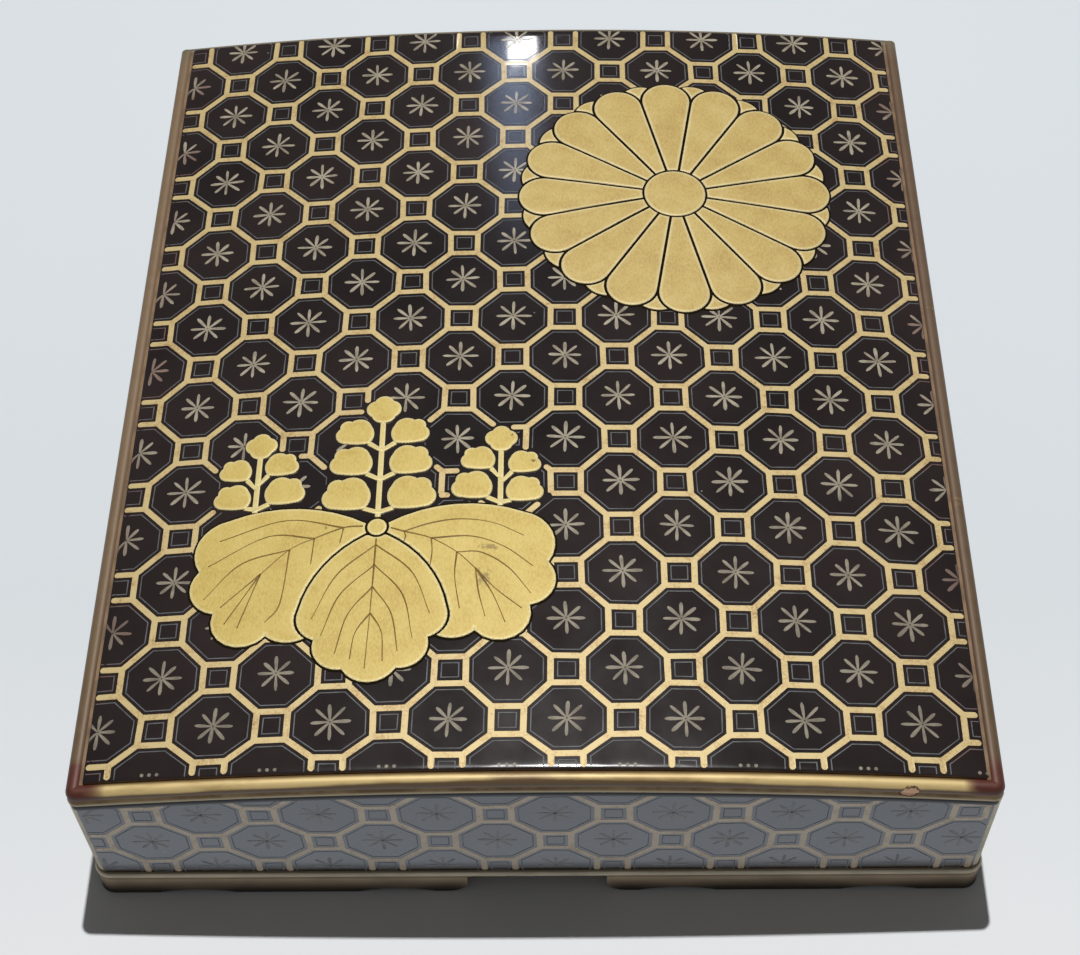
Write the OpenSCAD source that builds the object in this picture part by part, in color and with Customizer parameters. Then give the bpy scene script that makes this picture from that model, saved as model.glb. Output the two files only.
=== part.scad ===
// Lacquer document box: an arched overlapping lid that lifts straight off a low body,
// with a gold bead rim, gold corner beads, a gold ledge on bracket feet and two raised crests.
// Millimetres. X runs across the box, Y from front to rear, Z up. The origin is the centre of
// the footprint on the surface that the feet stand on, and the front faces -Y.

/* [Lid] */
// Width of the lid across its walls
lid_w = 270; // [220:1:330]
// Length of the lid from front wall to rear wall
lid_l = 316; // [280:1:380]
// Height of the lid walls at the corners, from the ledge to the rim
lid_wall_h = 44.8; // [30:0.2:80]
// Thickness of the lid walls
lid_wall_t = 4; // [3.5:0.5:6]
// Rise of the arched top across the width
arch_rise = 7.8; // [5:0.2:12]
// Thickness of the arched top board
panel_t = 3.6; // [3:0.2:5]

/* [Rim] */
// Width of the rim bead seen from above
rim_w = 4.2; // [3.6:0.1:6]
// Height of the bead above the top board
rim_bead_rise = 1; // [0.4:0.1:2]
// Depth of the groove between the bead and the fillet
rim_groove = 0.7; // [0.3:0.1:1.5]
// Height of the flat fillet under the bead
rim_fillet_h = 2.4; // [1.6:0.2:4]
// How far the fillet stands proud of the lid walls
rim_fillet_proud = 0.8; // [0.2:0.1:2]
// Width of the inner lip that carries the top board
rim_lip_w = 3; // [2:0.5:5]
// Radius of the rim's corners in plan, at the wall line
rim_corner_r = 3.2; // [1.5:0.1:4]

/* [Corner beads] */
// Size of the square rebate at each upright corner of the lid
corner_rebate = 2.4; // [1.5:0.1:3]
// Step left on each side of the quarter-round bead
corner_step = 0.2; // [0.1:0.05:0.5]
// Gap between the foot of the corner bead and the ledge
corner_bead_gap = 1.5; // [0.5:0.1:3]

/* [Body] */
// Clearance between the lid walls and the body walls
body_clearance = 0.5; // [0.3:0.1:1]
// Thickness of the body walls
body_wall_t = 4; // [3:0.5:6]
// Gap between the top of the body walls and the lid's inner lip
body_headroom = 2; // [1:0.5:10]
// Thickness of the bottom board
bottom_t = 5; // [3:0.5:6]

/* [Base] */
// Height of the ledge that the lid sits on
ledge_h = 2.4; // [1.8:0.2:5]
// How far the ledge stands proud of the lid walls
ledge_proud = 1.5; // [1:0.1:4]
// Rounding of the ledge's upper edge
ledge_edge_r = 1.2; // [0.5:0.1:1.6]
// Radius of the ledge's corners in plan
ledge_corner_r = 5; // [3:0.5:6]
// Height of the bracket feet
foot_h = 8.8; // [5:0.2:14]
// Set-back of the feet from the ledge's edge
foot_setback = 0.4; // [0.2:0.1:1]
// Width of the opening between two feet
foot_gap = 45; // [30:1:80]
// Rounding of each foot's end at that opening
foot_end_r = 4.5; // [2:0.5:5]
// Width of each scallop in a foot's lower edge
scallop_w = 24; // [12:1:30]
// Rise of each scallop
scallop_rise = 2; // [0.5:0.25:3]
// Distance from the opening to the middle of the first scallop
scallop_from_gap = 22; // [20:1:30]
// Distance from the corner to the middle of the second scallop
scallop_from_corner = 31; // [26:1:40]

/* [Crests] */
// Height of the raised gold work above the top board
relief_h = 0.7; // [0.4:0.1:1.5]
// Width of the dark line between neighbouring raised pieces
relief_gap = 0.8; // [0.5:0.1:1.5]
// Distance of each crest's middle from the nearer side of the top board
crest_from_side = 82.3; // [72:0.1:88]
// Distance of each crest's middle from the nearer end of the top board
crest_from_end = 83.8; // [72:0.1:88]

/* [Chrysanthemum] */
// Number of front petals
petals = 16; // [12:1:20]
// Radius of the ring of front petals
flower_r = 54.3; // [45:0.1:60]
// Radius of the centre disc
flower_centre_r = 10.6; // [8:0.2:13]
// How much shorter the rear petals are than the front ones
rear_petal_short = 0.3; // [0.1:0.1:2]
// Turn of the whole flower
flower_turn = 2; // [0:1:22]

/* [Paulownia] */
// Radius of the knot where the leaves and stems meet
knot_r = 3; // [2.5:0.1:4]
// Width of the flower stems
stem_w = 1.7; // [1:0.1:2.2]

/* [Hidden] */
$fn = 64;
arch_fn = 1440;
arc_steps = 8;
petal_steps = 9;
cut = 1;
half_w = lid_w / 2;
half_l = lid_l / 2;
arch_r = (half_w * half_w + arch_rise * arch_rise) / (2 * arch_rise);
rim_drop = panel_t + rim_fillet_h;
rim_bead_r = (panel_t + rim_bead_rise) / 2;
rim_inner_x = half_w - rim_w;
rim_inner_y = half_l - rim_w;
crest_x = rim_inner_x - crest_from_side;
crest_y = rim_inner_y - crest_from_end;
ledge_z = foot_h + ledge_h;
crown_z = ledge_z + lid_wall_h + rim_drop + arch_rise;
arch_axis_z = crown_z - arch_r;
rim_axis_x = half_w - rim_corner_r;
rim_axis_y = half_l - rim_corner_r;
rim_match_x = half_w - rim_w / 2;
rim_side_z = arch_axis_z + sqrt(arch_r * arch_r - rim_match_x * rim_match_x);
rim_low_z = rim_side_z - rim_drop;
rim_reach = rim_w + rim_lip_w + rim_fillet_proud + rim_corner_r;
rim_arc_half = asin((half_w + rim_reach) / arch_r);
corner_bead_r = corner_rebate - corner_step;
body_half_w = half_w - lid_wall_t - body_clearance;
body_half_l = half_l - lid_wall_t - body_clearance;
body_top_z = rim_low_z - body_headroom;
ledge_w = lid_wall_t + body_clearance + ledge_proud;
ledge_half_w = half_w + ledge_proud;
ledge_half_l = half_l + ledge_proud;
ledge_axis_x = ledge_half_w - ledge_corner_r;
ledge_axis_y = ledge_half_l - ledge_corner_r;
foot_half_w = ledge_half_w - foot_setback;
foot_half_l = ledge_half_l - foot_setback;
foot_corner_r = ledge_corner_r - foot_setback;
scallop_r = (scallop_w * scallop_w / 4 + scallop_rise * scallop_rise) / (2 * scallop_rise);
petal_half = 180 / petals;
petal_end_d = (flower_r + relief_gap / 2) / (1 + sin(petal_half));
petal_end_r = flower_r - petal_end_d;
paulownia_leaf_w = 46;

// Middle leaf, left half, from the knot to the tip: x, y and bulge of the edge to the next point
MIDDLE_LEAF = [[-3.1, -3, 3.7], [-23, -29.5, 2.5], [-17.5, -40, 3.7], [-8, -50.4, 4.6]];
// Right leaf, from the knot round its lobes and back along the top edge
RIGHT_LEAF = [
    [3, -1.5, 0], [16, -36, 3.5], [31, -38, 7.6], [47.4, -29.3, 4.8],
    [53, -14, 5.3], [45.5, 4.5, 5], [3, 1.2, 0]
];
// Blossom on the right of a stem, one unit wide, from its stalk round its three lobes
SIDE_BLOSSOM = [
    [-0.386, -0.36, 0.04], [0.294, -0.372, 0.168], [0.38, 0.072, 0.207], [-0.126, 0.324, 0.247]
];
// Blossom at the tip of a stem, from its foot round its three lobes
TIP_BLOSSOM = [
    [-0.056, -0.49, 0], [0.056, -0.49, 0.06], [0.34, -0.27, 0.2],
    [0.27, 0.285, 0.18], [-0.27, 0.285, 0.2], [-0.34, -0.27, 0.06]
];
// Right blossoms of the middle spray from the lowest up: place and width, mirrored to the left
MIDDLE_BLOSSOMS = [[10.2, 12.8, 15.5], [9.4, 25.5, 13.8], [8.8, 37, 12.4]];
MIDDLE_TIP = [0, 46, 11.2];
// Right spray: outer blossoms from the lowest up, inner ones from the highest down, and its tip
RIGHT_OUTER = [[45.5, 13.4, 11.9], [45.4, 23.8, 10.5]];
RIGHT_INNER = [[30.8, 25.5, 11], [29.1, 15.1, 13]];
RIGHT_TIP = [38, 33.2, 10.3];
RIGHT_STEM_FOOT = 7.75;
// Drop from a blossom's middle to where its stalk leaves the stem
STALK_DROP = 7;
stalk_half = 0.45;
stalk_gap = 0.25;

black_lacquer = "#1c1412";
dark_interior = "#2a1c14";
antique_gold = "#9a7a3e";
crest_gold = "#cdb25a";

// Points along an arc from a to b, without b itself, bulging to the right of the way from a to b
function arc_points(a, b, bulge) =
    let (chord = norm(b - a), along = (b - a) / chord, out = [along[1], -along[0]])
    bulge == 0 ? [a] :
    let (half = 2 * atan(2 * bulge / chord), r = chord / (2 * sin(half)), mid = (a + b) / 2)
    [for (i = [0 : arc_steps - 1])
        let (turn = (2 * i / arc_steps - 1) * half)
        mid + along * r * sin(turn) + out * (r * cos(turn) - r + bulge)];

// Closed outline through corner points, each with the bulge of the edge that leaves it
function outline(corners) = [
    for (i = [0 : len(corners) - 1])
        let (a = corners[i], b = corners[(i + 1) % len(corners)])
        each arc_points([a[0], a[1]], [b[0], b[1]], a[2])
];

// The left half of an outline joined to its mirror image
function mirrored(half) = let (last = len(half) - 1) concat(
    half,
    [for (i = [last : -1 : 0]) [-half[i][0], half[i][1], i > 0 ? half[i - 1][2] : 0]]
);

// Solid bounded above by the arch, at a depth below the top board's surface
module under_arch(depth) {
    translate([0, 0, arch_axis_z])
        rotate([90, 0, 0])
            cylinder(r = arch_r - depth, h = lid_l + 2 * ledge_proud, center = true, $fn = arch_fn);
}

// Space of a frame's front strip, cut at 45 degrees through both corner axes
module front_mitre(axis_x, axis_y, reach) {
    linear_extrude(crown_z + rim_drop)
        polygon([
            [-axis_x - reach, -axis_y - reach], [axis_x + reach, -axis_y - reach],
            [axis_x - reach, -axis_y + reach], [-axis_x + reach, -axis_y + reach]
        ]);
}

// Space of a frame's right strip, cut the same way
module right_mitre(axis_x, axis_y, reach) {
    linear_extrude(crown_z + rim_drop)
        polygon([
            [axis_x + reach, -axis_y - reach], [axis_x + reach, axis_y + reach],
            [axis_x - reach, axis_y - reach], [axis_x - reach, -axis_y + reach]
        ]);
}

// A profile run straight along Y: its x points outward and its y up
module straight_run(length) {
    rotate([90, 0, 0])
        linear_extrude(length, center = true)
            children();
}

// A profile turned through the corner from the front side to the right side, about its own y axis
module corner_turn(reach) {
    rotate([0, 0, -90])
        rotate_extrude(angle = 90)
            intersection() {
                children();
                translate([0, -reach])
                    square([reach, 2 * reach]);
            }
}

// Rim section: round bead over a flat fillet, with a lip inside that carries the top board
module rim_profile() {
    intersection() {
        translate([-rim_bead_r, rim_bead_rise - rim_bead_r])
            circle(rim_bead_r);
        translate([-rim_w, -panel_t])
            square([rim_w, panel_t + rim_bead_rise]);
    }
    translate([-rim_w, -panel_t])
        square([rim_w - rim_groove, rim_bead_r]);
    translate([-rim_w - rim_lip_w, -rim_drop])
        square([rim_w + rim_lip_w + rim_fillet_proud, rim_fillet_h]);
}

// What rounds off the two ends of the front strip in plan
module rim_corner_cuts() {
    for (side = [0, 1])
        mirror([side, 0, 0])
            translate([rim_axis_x, -rim_axis_y, ledge_z])
                difference() {
                    translate([0, -rim_reach, 0])
                        cube([rim_reach, rim_reach, crown_z]);
                    cylinder(r = rim_corner_r + rim_fillet_proud, h = crown_z);
                }
}

// Front strip of the rim, arched like the top board and mitred at both ends
module rim_front_strip() {
    color(antique_gold)
        difference() {
            intersection() {
                translate([0, 0, arch_axis_z])
                    rotate([90, 0, 0])
                        rotate([0, 0, 90 - rim_arc_half])
                            rotate_extrude(angle = 2 * rim_arc_half, $fn = arch_fn)
                                translate([arch_r, half_l])
                                    mirror([1, -1])
                                        rim_profile();
                front_mitre(rim_axis_x, rim_axis_y, rim_reach);
            }
            rim_corner_cuts();
        }
}

// Right strip of the rim, straight and mitred at both ends
module rim_right_strip() {
    color(antique_gold)
        difference() {
            intersection() {
                translate([half_w, 0, rim_side_z])
                    straight_run(lid_l + 2 * rim_reach)
                        rim_profile();
                right_mitre(rim_axis_x, rim_axis_y, rim_reach);
            }
            rim_corner_cuts();
            mirror([0, 1, 0])
                rim_corner_cuts();
        }
}

module lid_rim_front() {
    rim_front_strip();
}

module lid_rim_rear() {
    mirror([0, 1, 0])
        rim_front_strip();
}

module lid_rim_right() {
    rim_right_strip();
}

module lid_rim_left() {
    mirror([1, 0, 0])
        rim_right_strip();
}

// Arched top board, seated in the rim
module lid_top_panel() {
    color(black_lacquer)
        intersection() {
            difference() {
                under_arch(0);
                under_arch(panel_t);
            }
            translate([-rim_inner_x, -rim_inner_y, ledge_z])
                cube([2 * rim_inner_x, 2 * rim_inner_y, crown_z]);
        }
}

// One mitred wall in plan, along the front, with a rebate at both outer corners
module wall_plan(half_x, half_y, wall_t, rebate) {
    polygon([
        [-half_x + rebate, -half_y], [half_x - rebate, -half_y], [half_x - rebate, -half_y + rebate],
        [half_x - wall_t, -half_y + wall_t], [-half_x + wall_t, -half_y + wall_t],
        [-half_x + rebate, -half_y + rebate]
    ]);
}

// End walls of the lid reach up to the arched rim
module lid_front_wall() {
    color(black_lacquer)
        intersection() {
            translate([0, 0, ledge_z])
                linear_extrude(crown_z)
                    wall_plan(half_w, half_l, lid_wall_t, corner_rebate);
            under_arch(rim_drop);
        }
}

module lid_rear_wall() {
    mirror([0, 1, 0])
        lid_front_wall();
}

// Side walls of the lid end level under the straight rim strips
module lid_right_wall() {
    color(black_lacquer)
        translate([0, 0, ledge_z])
            linear_extrude(rim_low_z - ledge_z)
                rotate([0, 0, 90])
                    wall_plan(half_l, half_w, lid_wall_t, corner_rebate);
}

module lid_left_wall() {
    mirror([1, 0, 0])
        lid_right_wall();
}

// Quarter-round bead in the rebate of one lid corner
module corner_bead(side_x, side_y) {
    color(antique_gold)
        translate([
            side_x * (half_w - corner_rebate), side_y * (half_l - corner_rebate),
            ledge_z + corner_bead_gap
        ])
            linear_extrude(rim_low_z - ledge_z - corner_bead_gap)
                intersection() {
                    circle(corner_bead_r);
                    translate([min(0, side_x) * corner_rebate, min(0, side_y) * corner_rebate])
                        square(corner_rebate);
                }
}

module corner_bead_front_left() {
    corner_bead(-1, -1);
}

module corner_bead_front_right() {
    corner_bead(1, -1);
}

module corner_bead_rear_left() {
    corner_bead(-1, 1);
}

module corner_bead_rear_right() {
    corner_bead(1, 1);
}

// Bottom board of the body
module body_bottom_board() {
    color(dark_interior)
        translate([-body_half_w, -body_half_l, ledge_z - bottom_t])
            cube([2 * body_half_w, 2 * body_half_l, bottom_t]);
}

module body_front_wall() {
    color(dark_interior)
        translate([0, 0, ledge_z])
            linear_extrude(body_top_z - ledge_z)
                wall_plan(body_half_w, body_half_l, body_wall_t, 0);
}

module body_rear_wall() {
    mirror([0, 1, 0])
        body_front_wall();
}

module body_right_wall() {
    color(dark_interior)
        translate([0, 0, ledge_z])
            linear_extrude(body_top_z - ledge_z)
                rotate([0, 0, 90])
                    wall_plan(body_half_l, body_half_w, body_wall_t, 0);
}

module body_left_wall() {
    mirror([1, 0, 0])
        body_right_wall();
}

// Ledge section, with its outer upper edge rounded
module ledge_profile() {
    translate([ledge_corner_r - ledge_w, -ledge_h]) {
        square([ledge_w, ledge_h - ledge_edge_r]);
        square([ledge_w - ledge_edge_r, ledge_h]);
        translate([ledge_w - ledge_edge_r, ledge_h - ledge_edge_r])
            circle(ledge_edge_r);
    }
}

module ledge_corners() {
    for (side = [0, 1])
        mirror([side, 0, 0])
            translate([ledge_axis_x, -ledge_axis_y, ledge_z])
                corner_turn(ledge_w)
                    ledge_profile();
}

module ledge_front_strip() {
    color(antique_gold)
        intersection() {
            union() {
                translate([0, -ledge_axis_y, ledge_z])
                    rotate([0, 0, -90])
                        straight_run(2 * ledge_axis_x)
                            ledge_profile();
                ledge_corners();
            }
            front_mitre(ledge_axis_x, ledge_axis_y, ledge_w + ledge_corner_r);
        }
}

module ledge_right_strip() {
    color(antique_gold)
        intersection() {
            union() {
                translate([ledge_axis_x, 0, ledge_z])
                    straight_run(2 * ledge_axis_y)
                        ledge_profile();
                ledge_corners();
                mirror([0, 1, 0])
                    ledge_corners();
            }
            right_mitre(ledge_axis_x, ledge_axis_y, ledge_w + ledge_corner_r);
        }
}

module base_ledge_front() {
    ledge_front_strip();
}

module base_ledge_rear() {
    mirror([0, 1, 0])
        ledge_front_strip();
}

module base_ledge_right() {
    ledge_right_strip();
}

module base_ledge_left() {
    mirror([1, 0, 0])
        ledge_right_strip();
}

// Plan of the front right foot: two arms round the corner of the bottom board
module foot_plan() {
    difference() {
        union() {
            translate([foot_gap / 2, -foot_half_l])
                square([foot_half_w - foot_corner_r - foot_gap / 2, foot_half_l - foot_gap / 2]);
            translate([foot_gap / 2, -foot_half_l + foot_corner_r])
                square([foot_half_w - foot_gap / 2, foot_half_l - foot_corner_r - foot_gap / 2]);
            translate([foot_half_w - foot_corner_r, -foot_half_l + foot_corner_r])
                circle(foot_corner_r);
        }
        translate([-cut, -body_half_l])
            square([body_half_w + cut, body_half_l + cut]);
    }
}

// What is cut from one arm: two scallops and the round at the opening.
// The arm runs along X from the opening and its outer face lies at Y = 0.
module foot_edge_cut(arm_length) {
    for (x = [scallop_from_gap, arm_length - scallop_from_corner])
        translate([x, ledge_w + cut, scallop_rise - scallop_r])
            rotate([90, 0, 0])
                cylinder(r = scallop_r, h = ledge_w + 2 * cut);
    difference() {
        translate([-cut, -cut, -cut])
            cube([foot_end_r + cut, ledge_w + 2 * cut, foot_end_r + cut]);
        translate([foot_end_r, ledge_w + 2 * cut, foot_end_r])
            rotate([90, 0, 0])
                cylinder(r = foot_end_r, h = ledge_w + 4 * cut);
    }
}

// Bracket foot at the front right corner, turned to the others by mirroring
module bracket_foot(mirror_x, mirror_y) {
    color(antique_gold)
        mirror([mirror_x, 0, 0])
            mirror([0, mirror_y, 0])
                difference() {
                    linear_extrude(foot_h)
                        foot_plan();
                    translate([foot_gap / 2, -foot_half_l, 0])
                        foot_edge_cut(foot_half_w - foot_gap / 2);
                    translate([foot_half_w, -foot_gap / 2, 0])
                        rotate([0, 0, -90])
                            mirror([0, 1, 0])
                                foot_edge_cut(foot_half_l - foot_gap / 2);
                }
}

module foot_front_right() {
    bracket_foot(0, 0);
}

module foot_front_left() {
    bracket_foot(1, 0);
}

module foot_rear_right() {
    bracket_foot(0, 1);
}

module foot_rear_left() {
    bracket_foot(1, 1);
}

// A flat drawing raised on the arched top board
module raised(x, y) {
    color(crest_gold)
        intersection() {
            translate([x, y, ledge_z])
                linear_extrude(crown_z)
                    children();
            difference() {
                under_arch(-relief_h);
                under_arch(0);
            }
        }
}

// One petal pointing along X: straight edges that run tangent into its round end
module petal(end_d, end_r, start_r, grow) {
    half = asin((end_r + relief_gap / 2) / end_d);
    edge_r = end_r + grow;
    start = start_r * [cos(half), sin(half)] + (relief_gap / 2 - grow) * [sin(half), -cos(half)];
    sweep = 90 + half;
    polygon(concat(
        [[start[0], -start[1]]],
        [for (i = [-petal_steps : petal_steps])
            [end_d, 0] + edge_r * [cos(i * sweep / petal_steps), sin(i * sweep / petal_steps)]],
        [start]
    ));
}

module front_petal(grow) {
    petal(petal_end_d, petal_end_r, flower_centre_r + relief_gap, grow);
}

module chrysanthemum_front_petals() {
    for (i = [0 : petals - 1])
        raised(crest_x, crest_y)
            rotate(flower_turn + 90 + i * 360 / petals)
                difference() {
                    front_petal(0);
                    circle(flower_centre_r + relief_gap);
                }
}

// Rear petals show only as tips between the round ends of the front ones
module chrysanthemum_rear_petals() {
    for (i = [0 : petals - 1])
        raised(crest_x, crest_y)
            rotate(flower_turn + 90 + (i + 0.5) * 360 / petals)
                difference() {
                    translate([petal_end_d - rear_petal_short, 0])
                        circle(petal_end_r);
                    for (side = [-1, 1])
                        rotate(side * petal_half)
                            front_petal(relief_gap);
                    circle(petal_end_d);
                }
}

module chrysanthemum_centre() {
    raised(crest_x, crest_y)
        circle(flower_centre_r);
}

module middle_leaf(grow) {
    leaf = outline(mirrored(MIDDLE_LEAF));
    middle = MIDDLE_LEAF[1];
    translate([0, middle[1]])
        scale(1 + 2 * grow / paulownia_leaf_w)
            translate([0, -middle[1]])
                polygon(leaf);
}

module paulownia_middle_leaf() {
    raised(-crest_x, -crest_y)
        difference() {
            middle_leaf(0);
            circle(knot_r + relief_gap);
        }
}

module right_leaf() {
    difference() {
        polygon(outline(RIGHT_LEAF));
        middle_leaf(relief_gap);
        circle(knot_r + relief_gap);
    }
}

module paulownia_right_leaf() {
    raised(-crest_x, -crest_y)
        right_leaf();
}

module paulownia_left_leaf() {
    raised(-crest_x, -crest_y)
        mirror([1, 0])
            right_leaf();
}

module paulownia_knot() {
    raised(-crest_x, -crest_y)
        circle(knot_r);
}

// Corners of a drawing one unit wide, at the width that it is needed
function sized(corners, w) = [for (c = corners) c * w];

// Lower inner corner of a blossom, where its stalk reaches it
function stalk_tip(x, b) = let (side = sign(b[0] - x))
    [b[0] + side * b[2] * SIDE_BLOSSOM[0][0], b[1] + b[2] * SIDE_BLOSSOM[0][1]] - stalk_gap * [side, 1];

// Points of one stalk, from its lower root round its tip to its upper root
function stalk(x, foot_y, b) =
    let (
        side = sign(b[0] - x), tip = stalk_tip(x, b),
        root_y = max(foot_y + stem_w / 2 + stalk_half, b[1] - STALK_DROP)
    )
    [
        [x + side * stem_w / 2, root_y - stem_w / 2], tip + stalk_half * [side, -1],
        tip - stalk_half * [side, -1], [x + side * stem_w / 2, root_y + stem_w / 2]
    ];

// Upright stem with its stalks, the right ones listed from the foot and the left ones from the tip
module stem(x, foot_y, top_y, right, left) {
    polygon(concat(
        [[x - stem_w / 2, foot_y], [x + stem_w / 2, foot_y]],
        [for (b = right) each stalk(x, foot_y, b)],
        [[x + stem_w / 2, top_y], [x - stem_w / 2, top_y]],
        [for (b = left) let (s = stalk(x, foot_y, b)) each [s[3], s[2], s[1], s[0]]]
    ));
}

// Blossoms beside the stem at x, each mirrored to face away from it
module side_blossoms(x, places) {
    for (b = places)
        translate([b[0], b[1]])
            mirror([b[0] < x ? 1 : 0, 0])
                polygon(outline(sized(SIDE_BLOSSOM, b[2])));
}

module tip_blossom(b) {
    translate([b[0], b[1]])
        polygon(outline(sized(TIP_BLOSSOM, b[2])));
}

module paulownia_middle_spray() {
    left = [for (b = MIDDLE_BLOSSOMS) [-b[0], b[1], b[2]]];
    foot_y = knot_r + relief_gap;
    top_y = MIDDLE_TIP[1] + MIDDLE_TIP[2] * TIP_BLOSSOM[0][1] - stalk_gap;
    raised(-crest_x, -crest_y) {
        stem(0, foot_y, top_y, MIDDLE_BLOSSOMS, [for (i = [2 : -1 : 0]) left[i]]);
        side_blossoms(0, concat(MIDDLE_BLOSSOMS, left));
        tip_blossom(MIDDLE_TIP);
    }
}

module right_spray() {
    top_y = RIGHT_TIP[1] + RIGHT_TIP[2] * TIP_BLOSSOM[0][1] - stalk_gap;
    stem(RIGHT_TIP[0], RIGHT_STEM_FOOT, top_y, RIGHT_OUTER, RIGHT_INNER);
    side_blossoms(RIGHT_TIP[0], concat(RIGHT_OUTER, RIGHT_INNER));
    tip_blossom(RIGHT_TIP);
}

module paulownia_right_spray() {
    raised(-crest_x, -crest_y)
        right_spray();
}

module paulownia_left_spray() {
    raised(-crest_x, -crest_y)
        mirror([1, 0])
            right_spray();
}

body_bottom_board();
body_front_wall();
body_rear_wall();
body_left_wall();
body_right_wall();
base_ledge_front();
base_ledge_rear();
base_ledge_left();
base_ledge_right();
foot_front_left();
foot_front_right();
foot_rear_left();
foot_rear_right();
lid_top_panel();
lid_front_wall();
lid_rear_wall();
lid_left_wall();
lid_right_wall();
lid_rim_front();
lid_rim_rear();
lid_rim_left();
lid_rim_right();
corner_bead_front_left();
corner_bead_front_right();
corner_bead_rear_left();
corner_bead_rear_right();
chrysanthemum_front_petals();
chrysanthemum_rear_petals();
chrysanthemum_centre();
paulownia_middle_leaf();
paulownia_left_leaf();
paulownia_right_leaf();
paulownia_knot();
paulownia_middle_spray();
paulownia_left_spray();
paulownia_right_spray();
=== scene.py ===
import math
import random
from functools import partial

import bmesh
import bpy
import numpy as np
from mathutils import Matrix, Vector, noise
from mathutils.geometry import delaunay_2d_cdt


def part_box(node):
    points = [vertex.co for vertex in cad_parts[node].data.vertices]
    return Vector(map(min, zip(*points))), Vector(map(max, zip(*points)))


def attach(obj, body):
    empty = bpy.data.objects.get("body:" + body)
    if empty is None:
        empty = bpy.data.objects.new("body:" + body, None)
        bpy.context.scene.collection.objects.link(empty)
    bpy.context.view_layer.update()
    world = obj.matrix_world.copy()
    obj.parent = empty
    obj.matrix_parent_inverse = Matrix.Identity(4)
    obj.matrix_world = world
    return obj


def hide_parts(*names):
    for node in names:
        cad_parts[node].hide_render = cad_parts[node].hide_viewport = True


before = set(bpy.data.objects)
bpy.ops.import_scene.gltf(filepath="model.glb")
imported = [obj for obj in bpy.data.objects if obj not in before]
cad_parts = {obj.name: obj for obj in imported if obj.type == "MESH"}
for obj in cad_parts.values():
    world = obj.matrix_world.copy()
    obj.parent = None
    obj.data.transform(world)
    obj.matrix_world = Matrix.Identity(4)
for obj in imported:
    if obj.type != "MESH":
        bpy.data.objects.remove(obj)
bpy.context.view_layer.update()  # bodies "box" and "lid", millimetres drawn here are turned to metres
mm = 0.001
print("frame loaded:", len(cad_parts), "nodes")

# Sizes of the lid that the drawing on it has to follow, in mm
lidShape = {
    "archRadius": 1172.17,  # the top is arched across the width
    "halfWidth": 135.0,
    "halfLength": 158.0,
    "panelThickness": 3.6,
    "edgeRollWidth": 1.6,  # the lacquer rolls over at the panel's edge and catches the lamp there
    "edgeRollDrop": 0.35,
    "edgeRollTurn": 0.99,  # how far it turns down, 1 for upright
    "edgeRollWave": 0.5,  # share by which the roll's width comes and goes along an end
    "edgeRollWaveLength": 5.0,
    "edgeRollWaveRow": (3.0, 0.5),
    "rimFoot": 7.0,
    "wallFoot": 11.2,
    "cornerRebate": 2.4,
    "sideWider": 1.1,  # the rim's side strips reach in this much further than its ends
}
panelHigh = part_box("lid_top_panel")[1]
panelHalfX = panelHigh.x / mm - lidShape["sideWider"]
panelHalfY = panelHigh.y / mm
crown = panelHigh.z / mm
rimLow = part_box("lid_right_wall")[1].z / mm


def archZ(x):
    radius = lidShape["archRadius"]
    return crown - radius + math.sqrt(radius * radius - x * x)


def edgeRoll(distance, wave=0.0):
    reach = lidShape["edgeRollWidth"] * (1 + lidShape["edgeRollWave"] * wave)
    if distance >= reach:
        return 0.0
    share = 1 - max(distance, 0) / reach
    return lidShape["edgeRollDrop"] * (1 - math.sqrt(1 - share * share * lidShape["edgeRollTurn"]))


def panelZ(x, y):
    wave = noise.noise(Vector((x / lidShape["edgeRollWaveLength"], *lidShape["edgeRollWaveRow"])))
    return archZ(x) - edgeRoll(panelHalfX - abs(x)) - edgeRoll(panelHalfY - abs(y), wave)


# Colour and node helpers
def hexToLinear(code):
    channels = [int(code[i:i + 2], 16) / 255 for i in (1, 3, 5)]
    linear = [c / 12.92 if c <= 0.04045 else ((c + 0.055) / 1.055) ** 2.4 for c in channels]
    return (*linear, 1.0)


def perMm(size):
    return 1000.0 / size  # texture scale for a feature of that many millimetres


# Sockets among the settings are linked, hex codes made linear, and the first output in use is handed back
def addNode(tree, kind, settings):
    node = tree.nodes.new("ShaderNode" + kind)
    for key, value in settings.items():
        if key == "stops":
            elements = node.color_ramp.elements
            for i, (place, code) in enumerate(value):
                element = elements[i] if i < 2 else elements.new(place)
                element.position = place
                element.color = hexToLinear(code)
        elif key == "span":
            for name, number in zip(("From Min", "From Max", "To Min", "To Max"), value):
                node.inputs[name].default_value = number
        elif not isinstance(key, int) and key not in node.inputs:
            setattr(node, key, value)
        elif isinstance(value, bpy.types.NodeSocket):
            tree.links.new(value, node.inputs[key])
        else:
            node.inputs[key].default_value = hexToLinear(value) if isinstance(value, str) else value
    return next(output for output in node.outputs if output.enabled)


def startMaterial(name, settings):
    material = bpy.data.materials.new(name)
    material.use_nodes = True
    tree = material.node_tree
    shader = tree.nodes["Principled BSDF"]
    for key, value in settings.items():
        shader.inputs[key].default_value = value
    add = partial(addNode, tree)
    return material, add, shader, add("TexCoord", {}).node.outputs["Object"]


# Noise with features of that many millimetres, run through a few colours
def mottled(add, place, size, detail, stops):
    patch = add("TexNoise", {"Vector": place, "Scale": perMm(size), "Detail": detail})
    return patch, add("ValToRGB", {"Fac": patch, "stops": stops})


def feed(node, sockets):
    for key, socket in sockets.items():
        node.id_data.links.new(socket, node.inputs[key])


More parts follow.
